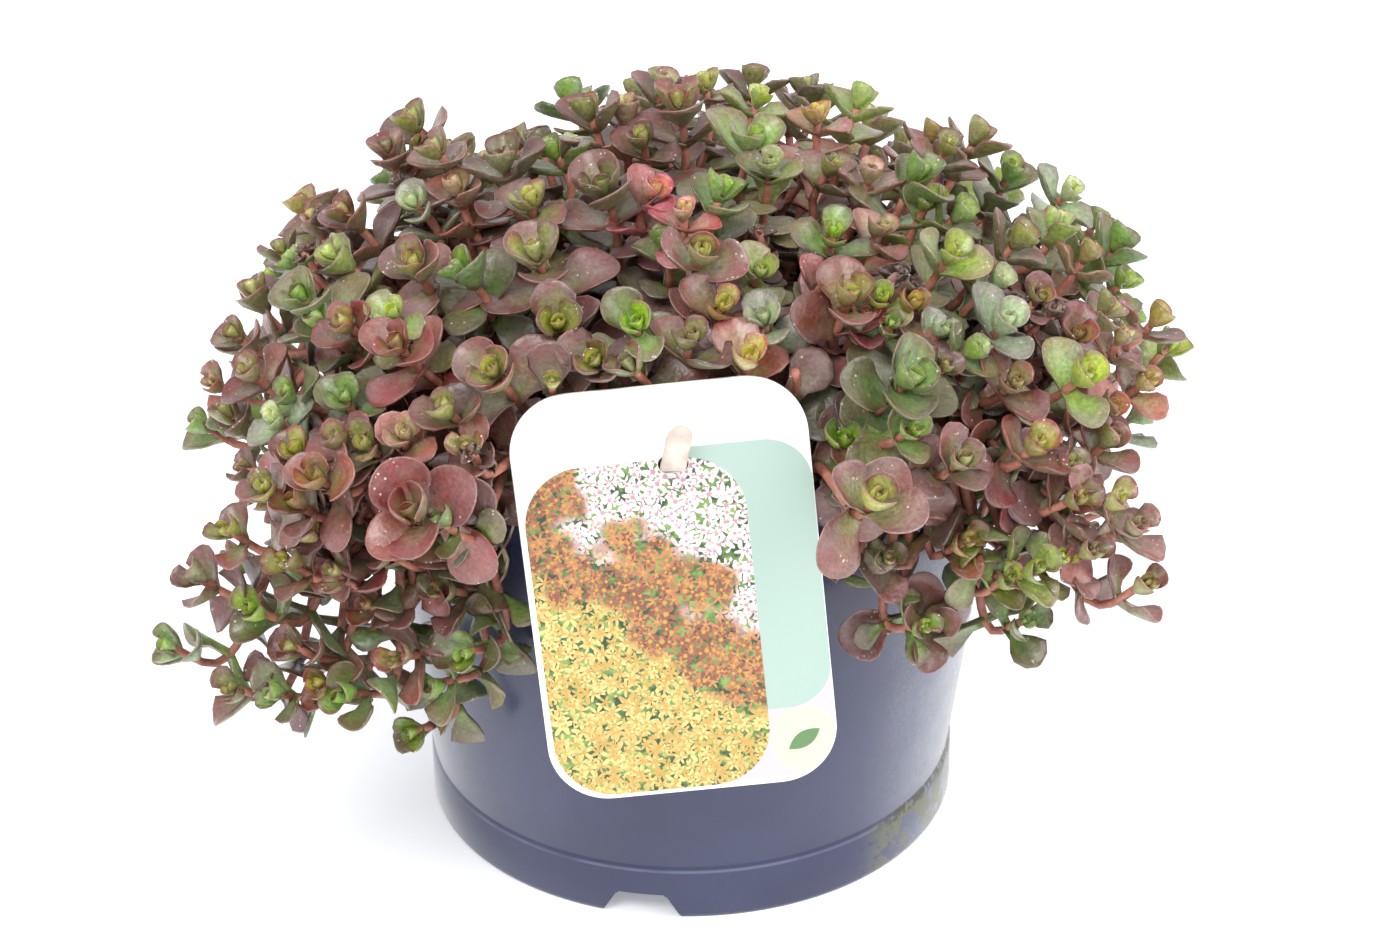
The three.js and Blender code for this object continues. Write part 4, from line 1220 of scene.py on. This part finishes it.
def leaf_templates():
    """Leaf shapes, by whether the shoot trails and whether the leaf is a fine one."""
    templates = {}
    for trails, widths in ((False, LEAF_WIDTHS), (True, SPOON_WIDTHS)):
        templates[trails, True] = leaf_template(widths, 1, LEAF_COLUMNS)
        templates[trails, False] = leaf_template(widths, 2, PLAIN_COLUMNS)
    return templates


TEMPLATES = leaf_templates()
STEM_MATERIAL = stem_material()
STRAND_MATERIAL = strand_material()
LEAF_MATERIALS = {tint: leaf_material(tint) for tint in LEAF_COLOURS}


def strand_on_soil(rng):
    """A dry strand that lies on the soil in a loose bend."""
    radius, turn, heading = rng.uniform(*STRAND_RING), rng.uniform(0, 360), rng.uniform(0, 360)
    at = turned_about(RIGHT, UP, turn) * radius + UP * (SOIL_Z + rng.uniform(1.5, 8))
    step = rng.uniform(2, 6)
    points = [at]
    for _ in range(4):
        heading += rng.normal(0, 30)
        at = at + turned_about(RIGHT, UP, heading) * step
        at[2] = max(at[2] + rng.normal(0, 1.2), SOIL_Z + 1.5)
        at[:2] *= min(1, LITTER_EDGE / math.hypot(at[0], at[1]))
        points.append(at)
    return points


def strand_over_rim(rng, turn):
    """A dry strand from the soil over the rim, hanging down outside it."""
    out = turned_about(RIGHT, UP, turn)
    side = np.cross(UP, out)
    drop = rng.uniform(8, 34)
    route = [
        (54, SOIL_Z + 4),
        (RIM_RADIUS - 1.3, POT_HEIGHT + 1.2),
        (RIM_RADIUS + 1.6, POT_HEIGHT - 1),
        (RIM_RADIUS + 1.8, POT_HEIGHT - 1 - drop / 2),
        (RIM_RADIUS + 1.2, POT_HEIGHT - 1 - drop),
    ]
    return [out * radius + UP * height + side * rng.normal(0, 3.4) for radius, height in route]


def make_litter():
    """Dry strands and crumbs of leaf on the soil, and a few strands over the rim."""
    rng = np.random.default_rng(11)
    foliage = Foliage()
    routes = [strand_on_soil(rng) for _ in range(STRANDS)]
    for _ in range(HANGING_STRANDS):
        routes.append(strand_over_rim(rng, rng.normal(STRANDS_TURN, STRANDS_SPREAD)))
    for route in routes:
        line = catmull_rom(route, 4)
        radii = np.linspace(rng.uniform(0.3, 0.7), 0.2, len(line))
        add_stem(foliage, line, stem_frames(line, rng.uniform(0, 90)), radii)
    for _ in range(CRUMBS):
        radius, turn = rng.uniform(*CRUMB_RING), rng.uniform(0, 360)
        at = turned_about(RIGHT, UP, turn) * radius + UP * (SOIL_Z + rng.uniform(1.8, 4))
        spin, roll = rng.uniform(0, 360), rng.uniform(-40, 40)
        axes, _ = leaf_axes(UP, RIGHT, spin, rng.uniform(60, 110), roll, 0)
        length, cup, curl = rng.uniform(3, 6), rng.normal(1, 0.5), rng.normal(0, 0.4)
        local = leaf_points(TEMPLATES[False, False], length, 0.7, cup, curl, 0.6)
        varied = rng.uniform(0, 1)
        add_leaf(foliage, TEMPLATES[False, False], at + local @ axes, 1, varied, 0)
    foliage.piece("dry_litter", "dry", STRAND_MATERIAL)


def make_plant():
    nodes = node_shoots()
    for number, shoot in enumerate(nodes, 1):
        foliage = Foliage()
        grow(foliage, shoot, np.random.default_rng(number), shoot["tip"][1] < 0)
        piece = foliage.piece(f"sedum_shoot_{number:02d}", shoot["tint"], STEM_MATERIAL)
        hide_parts(f"shoot_{number:02d}")
    small = small_shoots(nodes)
    for tint in LEAF_COLOURS:
        for side, name in ((-1, "front"), (1, "back")):
            chosen = [each for each in small if each["tint"] == tint and each["tip"][1] * side >= 0]
            foliage = Foliage()
            for number, shoot in enumerate(chosen):
                grow(foliage, shoot, np.random.default_rng(1000 + number), False)
            if chosen:
                foliage.piece(f"sedum_small_{tint}_{name}", tint, STEM_MATERIAL)


# Pot and soil


def turned_mesh(profile, sides):
    """A bmesh turned from a profile of [radius, height], from the axis back to it."""
    mesh = bmesh.new()
    rings = []
    for radius, height in profile:
        ring = around(radius, sides if radius else 1)
        rings.append([mesh.verts.new(Vector((x, y, height)) * MM) for x, y in ring])
    for low, high in zip(rings, rings[1:]):
        for side in range(sides):
            after = (side + 1) % sides
            corners = [low[side % len(low)], low[after % len(low)]]
            corners += [high[after % len(high)], high[side % len(high)]]
            mesh.faces.new(list(dict.fromkeys(corners)))
    bmesh.ops.recalc_face_normals(mesh, faces=mesh.faces)
    return mesh


def pot_profile():
    inner = POT_HEIGHT - RIM_HEIGHT
    return [
        (0, 0),
        (PAD_RADIUS, 0),
        (PAD_RADIUS + 3, FLOOR_UNDERSIDE),
        (BASE_RADIUS - FOOT_WIDTH, FLOOR_UNDERSIDE),
        (BASE_RADIUS - FOOT_WIDTH + 0.6, 0),
        (BASE_RADIUS + 0.2, 0),
        (BASE_RADIUS + LEDGE_DEPTH * 0.8, 0.4),
        (BASE_RADIUS + LEDGE_DEPTH, 1),
        (BASE_RADIUS + LEDGE_DEPTH, LEDGE_Z - 0.2),
        (BASE_RADIUS + LEDGE_DEPTH * 0.8, LEDGE_Z + 0.1),
        (BASE_RADIUS + 0.1, LEDGE_Z + 0.9),
        (NECK_RADIUS, inner),
        (RIM_RADIUS - 0.4, inner + 0.4),
        (RIM_RADIUS - 0.2, inner + 1),
        (RIM_RADIUS, POT_HEIGHT - 0.9),
        (RIM_RADIUS - 0.25, POT_HEIGHT - 0.25),
        (RIM_RADIUS - 0.9, POT_HEIGHT),
        (RIM_RADIUS - LIP_WIDTH + 0.4, POT_HEIGHT),
        (RIM_RADIUS - LIP_WIDTH, POT_HEIGHT - 0.4),
        (NECK_RADIUS - WALL, inner - 1),
        (BASE_RADIUS - WALL, FLOOR_TOP + 2),
        (BASE_RADIUS - WALL - 2, FLOOR_TOP),
        (PAD_RADIUS + 1, FLOOR_TOP),
        (PAD_RADIUS - 1, FLOOR_TOP - FLOOR_UNDERSIDE),
        (0, FLOOR_TOP - FLOOR_UNDERSIDE),
    ]


def drain_cutter(cutters, turn):
    spin = Matrix.Rotation(math.radians(turn), 4, "Z")
    place = spin @ Matrix.Translation((DRAIN_RING * MM, 0, 0))
    bmesh.ops.create_cone(
        cutters,
        cap_ends=True,
        segments=32,
        radius1=DRAIN_RADIUS * MM,
        radius2=DRAIN_RADIUS * MM,
        depth=3 * FLOOR_TOP * MM,
        matrix=place,
    )


def notch_cutter(cutters, turn):
    """A notch in the foot, wider at the bottom."""
    low, high, top = NOTCH_WIDTH_LOW / 2, NOTCH_WIDTH_HIGH / 2, NOTCH_HEIGHT
    outline = [
        (-low - 1, -1),
        (low + 1, -1),
        (low - 0.6, 1.6),
        (high, top - 0.6),
        (high - 0.8, top),
        (-high + 0.8, top),
        (-high, top - 0.6),
        (-low + 0.6, 1.6),
    ]
    spin = Matrix.Rotation(math.radians(turn), 3, "Z")
    rings = []
    for depth in (-BASE_RADIUS - 4, -BASE_RADIUS + 4):
        ring = [cutters.verts.new(spin @ Vector((x * MM, depth * MM, z * MM))) for x, z in outline]
        rings.append(ring)
    front, back = rings
    cutters.faces.new(front)
    cutters.faces.new(back[::-1])
    for corner in range(len(front)):
        after = (corner + 1) % len(front)
        cutters.faces.new([front[after], front[corner], back[corner], back[after]])


def object_of(name, built):
    mesh = bpy.data.meshes.new(name)
    bmesh.ops.recalc_face_normals(built, faces=built.faces)
    built.to_mesh(mesh)
    built.free()
    return add_object(name, mesh)


def make_pot():
    pot = object_of("nursery_pot", turned_mesh(pot_profile(), POT_SIDES))
    cutters = bmesh.new()
    for hole in range(DRAIN_HOLES):
        drain_cutter(cutters, hole * 360 / DRAIN_HOLES)
    for notch in range(NOTCHES):
        notch_cutter(cutters, NOTCH_TURN + notch * 360 / NOTCHES)
    cutter = object_of("pot_cutter", cutters)
    cut = pot.modifiers.new("cut", "BOOLEAN")
    cut.operation = "DIFFERENCE"
    cut.solver = "EXACT"
    cut.object = cutter
    evaluated = pot.evaluated_get(bpy.context.evaluated_depsgraph_get())
    finished = bpy.data.meshes.new_from_object(evaluated)
    pot.modifiers.clear()
    pot.data = finished
    bpy.data.objects.remove(cutter)
    finished.shade_smooth()
    finished.set_sharp_from_angle(angle=math.radians(32))
    finished.materials.clear()
    finished.materials.append(pot_material())
    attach(pot, "root")
    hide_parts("pot")


def make_soil():
    """A lumpy disc of soil, down to the pot's floor, inside the wall all round."""
    rng = np.random.default_rng(7)
    rings, sides = SOIL_RINGS, SOIL_SIDES
    outer = NECK_RADIUS - WALL - 1
    points = [[0, 0, SOIL_Z]]
    waves = rng.uniform(0.08, 0.5, (SOIL_WAVES, 2)) * rng.choice([-1, 1], (SOIL_WAVES, 2))
    phases = rng.uniform(0, 2 * math.pi, SOIL_WAVES)
    for ring in range(1, rings + 1):
        fall = SOIL_FALL * max(0, (ring / rings - 1) / SOIL_FALL_SHARE + 1)
        for x, y in around(outer * ring / rings, sides):
            lumps = SOIL_LUMPS * np.sin(waves @ [x, y] + phases).mean()
            lumps += rng.normal(0, SOIL_GRAIN)
            points.append([x, y, SOIL_Z + min(lumps, SOIL_HIGHEST) - fall])
    floor = FLOOR_TOP + SOIL_FLOOR_GAP
    points += [[x, y, floor] for x, y in around(BASE_RADIUS - WALL - 3, sides)]
    points.append([0, 0, floor])
    bottom = len(points) - 1
    faces = []
    for side in range(sides):
        after = (side + 1) % sides
        faces.append([0, 1 + side, 1 + after])
        for ring in range(rings):
            low, high = 1 + ring * sides, 1 + (ring + 1) * sides
            faces.append([low + side, high + side, high + after, low + after])
        faces.append([bottom - sides + side, bottom, bottom - sides + after])
    soil = mesh_piece("soil_surface", points, faces, [soil_material()])
    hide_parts("soil")


# Label and hook


def rounded_outline(width, height, corner, steps):
    points = []
    for turn, (sx, sy) in enumerate(((1, -1), (1, 1), (-1, 1), (-1, -1))):
        for step in range(steps + 1):
            angle = math.radians(-90 + 90 * turn + 90 * step / steps)
            x = sx * (width / 2 - corner) + corner * math.cos(angle)
            y = sy * (height / 2 - corner) + corner * math.sin(angle)
            points.append((x, y))
    return points


def outline_mesh(outline, hole, depth, rounding):
    """A flat plate with a hole from outlines in millimetres, with its edges rounded."""
    plate = bmesh.new()
    edges = []
    for loop in (outline, hole):
        corners = [plate.verts.new((x * MM, y * MM, -depth / 2 * MM)) for x, y in loop]
        edges += [plate.edges.new(pair) for pair in zip(corners, corners[1:] + corners[:1])]
    bmesh.ops.triangle_fill(plate, edges=edges, use_beauty=True)
    raised = bmesh.ops.extrude_face_region(plate, geom=plate.faces[:])["geom"]
    lifted = [each for each in raised if isinstance(each, bmesh.types.BMVert)]
    bmesh.ops.translate(plate, verts=lifted, vec=(0, 0, depth * MM))
    bmesh.ops.recalc_face_normals(plate, faces=plate.faces)
    sharp = [edge for edge in plate.edges if edge.calc_face_angle(0) > math.radians(60)]
    bmesh.ops.bevel(plate, geom=sharp, offset=rounding * MM, segments=2, affect="EDGES")
    return plate


def label_material():
    """White card printed with a picture of generic blossoms, and plain panels beside it."""
    nodes = Nodes("label_card")
    x, y, _ = nodes.split(nodes.place())
    picture = nodes.panel(x, y, PICTURE_PANEL)
    side = nodes.panel(x, y, SIDE_PANEL)
    strip = nodes.panel(x, y, STRIP_PANEL)
    corner = nodes.panel(x, y, CORNER_PANEL)
    card = srgb(250, 250, 249)
    print_colour = nodes.mix(strip, card, srgb(206, 190, 200))
    print_colour = nodes.mix(side, print_colour, srgb(164, 186, 176))
    print_colour = nodes.mix(corner, print_colour, nodes.leaf_motif(x, y))
    print_colour = nodes.mix(picture, print_colour, nodes.blossoms(x, y))
    print_colour = nodes.mix(nodes.front_only(), card, print_colour)
    nodes.colour(print_colour)
    nodes.set(Roughness=0.32)
    nodes.bump(nodes.noise(900, detail=3), 0.00004, 0.4)
    return nodes.material


def make_label():
    outline = rounded_outline(LABEL_WIDTH, LABEL_HEIGHT, LABEL_CORNER, 14)
    middle = (SLOT_RIGHT, LABEL_HEIGHT / 2 - SLOT_BELOW_TOP)
    slot = rounded_outline(SLOT_WIDTH, SLOT_HEIGHT, SLOT_HEIGHT / 2 - 0.1, 6)
    hole = [(x + middle[0], y + middle[1]) for x, y in slot]
    label = object_of("plant_label", outline_mesh(outline, hole, LABEL_THICKNESS, 0.12))
    label.matrix_world = placed(LABEL_AXES, LABEL_CENTRE)
    label.data.materials.append(label_material())
    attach(label, "root")
    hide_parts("label")


# The hook's bends from the label's slot, along X, Y and Z, as in the part's source
HOOK_BENDS = [
    (0, 9, -22),
    (0, 9, -12),
    (0, 7.6, -4.5),
    (0, 3.5, -0.7),
    (0, 0, 0),
    (0, -3.2, 0.8),
    (0.4, -4.2, 3.4),
    (1.1, -4.2, 7),
]


def make_hook():
    """A flat ribbon with rounded edges, and a tongue that narrows in a half circle."""
    across, up, _ = LABEL_AXES
    slot = LABEL_CENTRE + across * SLOT_RIGHT + up * (LABEL_HEIGHT / 2 - SLOT_BELOW_TOP)
    bends = [slot + bend for bend in HOOK_BENDS]
    line = catmull_rom(bends, 8)
    last = unit(line[-1] - line[-2])
    widths = [HOOK_WIDTH / 2] * len(line)
    for turn in range(10, 91, 10):
        angle = math.radians(turn)
        line = np.vstack([line, bends[-1] + last * HOOK_WIDTH / 2 * math.sin(angle)])
        widths.append(max(HOOK_WIDTH / 2 * math.cos(angle), 0.15))
    tangents = np.gradient(line, axis=0)
    section = [(1, 0), (0.93, 0.7), (0.75, 1), (-0.75, 1), (-0.93, 0.7)]
    section += [(-x, -y) for x, y in section]
    points = []
    for point, tangent, width in zip(line, tangents, widths):
        thick = unit(np.cross(RIGHT, tangent)) * HOOK_THICKNESS / 2
        points += [point + RIGHT * x * width + thick * y for x, y in section]
    count = len(section)
    faces = grid_faces(len(line), count, 0, False)
    for ring in range(len(line) - 1):
        low = ring * count
        faces.append([low + count - 1, low, low + count, low + 2 * count - 1])
    faces.append(list(range(count))[::-1])
    faces.append([len(points) - count + corner for corner in range(count)])
    hook = mesh_piece("hanging_hook", points, faces, [hook_material()])
    hook.data.set_sharp_from_angle(angle=math.radians(50))
    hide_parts("label_hook")


# Floor and lights


def make_floor():
    mesh = bpy.data.meshes.new("floor")
    corners = [(-1, -1, 0), (1, -1, 0), (1, 1, 0), (-1, 1, 0)]
    mesh.from_pydata([Vector(corner) * FLOOR_HALF * MM for corner in corners], [], [(0, 1, 2, 3)])
    mesh.materials.append(floor_material())
    floor = add_object("floor", mesh)


def make_light(name, place, size, power):
    data = bpy.data.lights.new(name, "AREA")
    data.size = size * MM
    data.energy = power
    light = add_object(name, data)
    light.location = Vector(place) * MM
    aim = Vector(LIGHTS_AIM) - Vector(place)
    light.rotation_euler = aim.to_track_quat("-Z", "Y").to_euler()


def make_lights():
    world = bpy.data.worlds.new("world")
    bpy.context.scene.world = world
    world.use_nodes = True
    world.node_tree.nodes["Background"].inputs["Color"].default_value = (1, 1, 1, 1)
    world.node_tree.nodes["Background"].inputs["Strength"].default_value = 1.0
    make_light("key_light", *KEY_LIGHT)
    make_light("fill_light", *FILL_LIGHT)


make_camera()
make_plant()
make_litter()
make_pot()
make_soil()
make_label()
make_hook()
make_floor()
make_lights()
bpy.context.scene.view_settings.view_transform = "Standard"
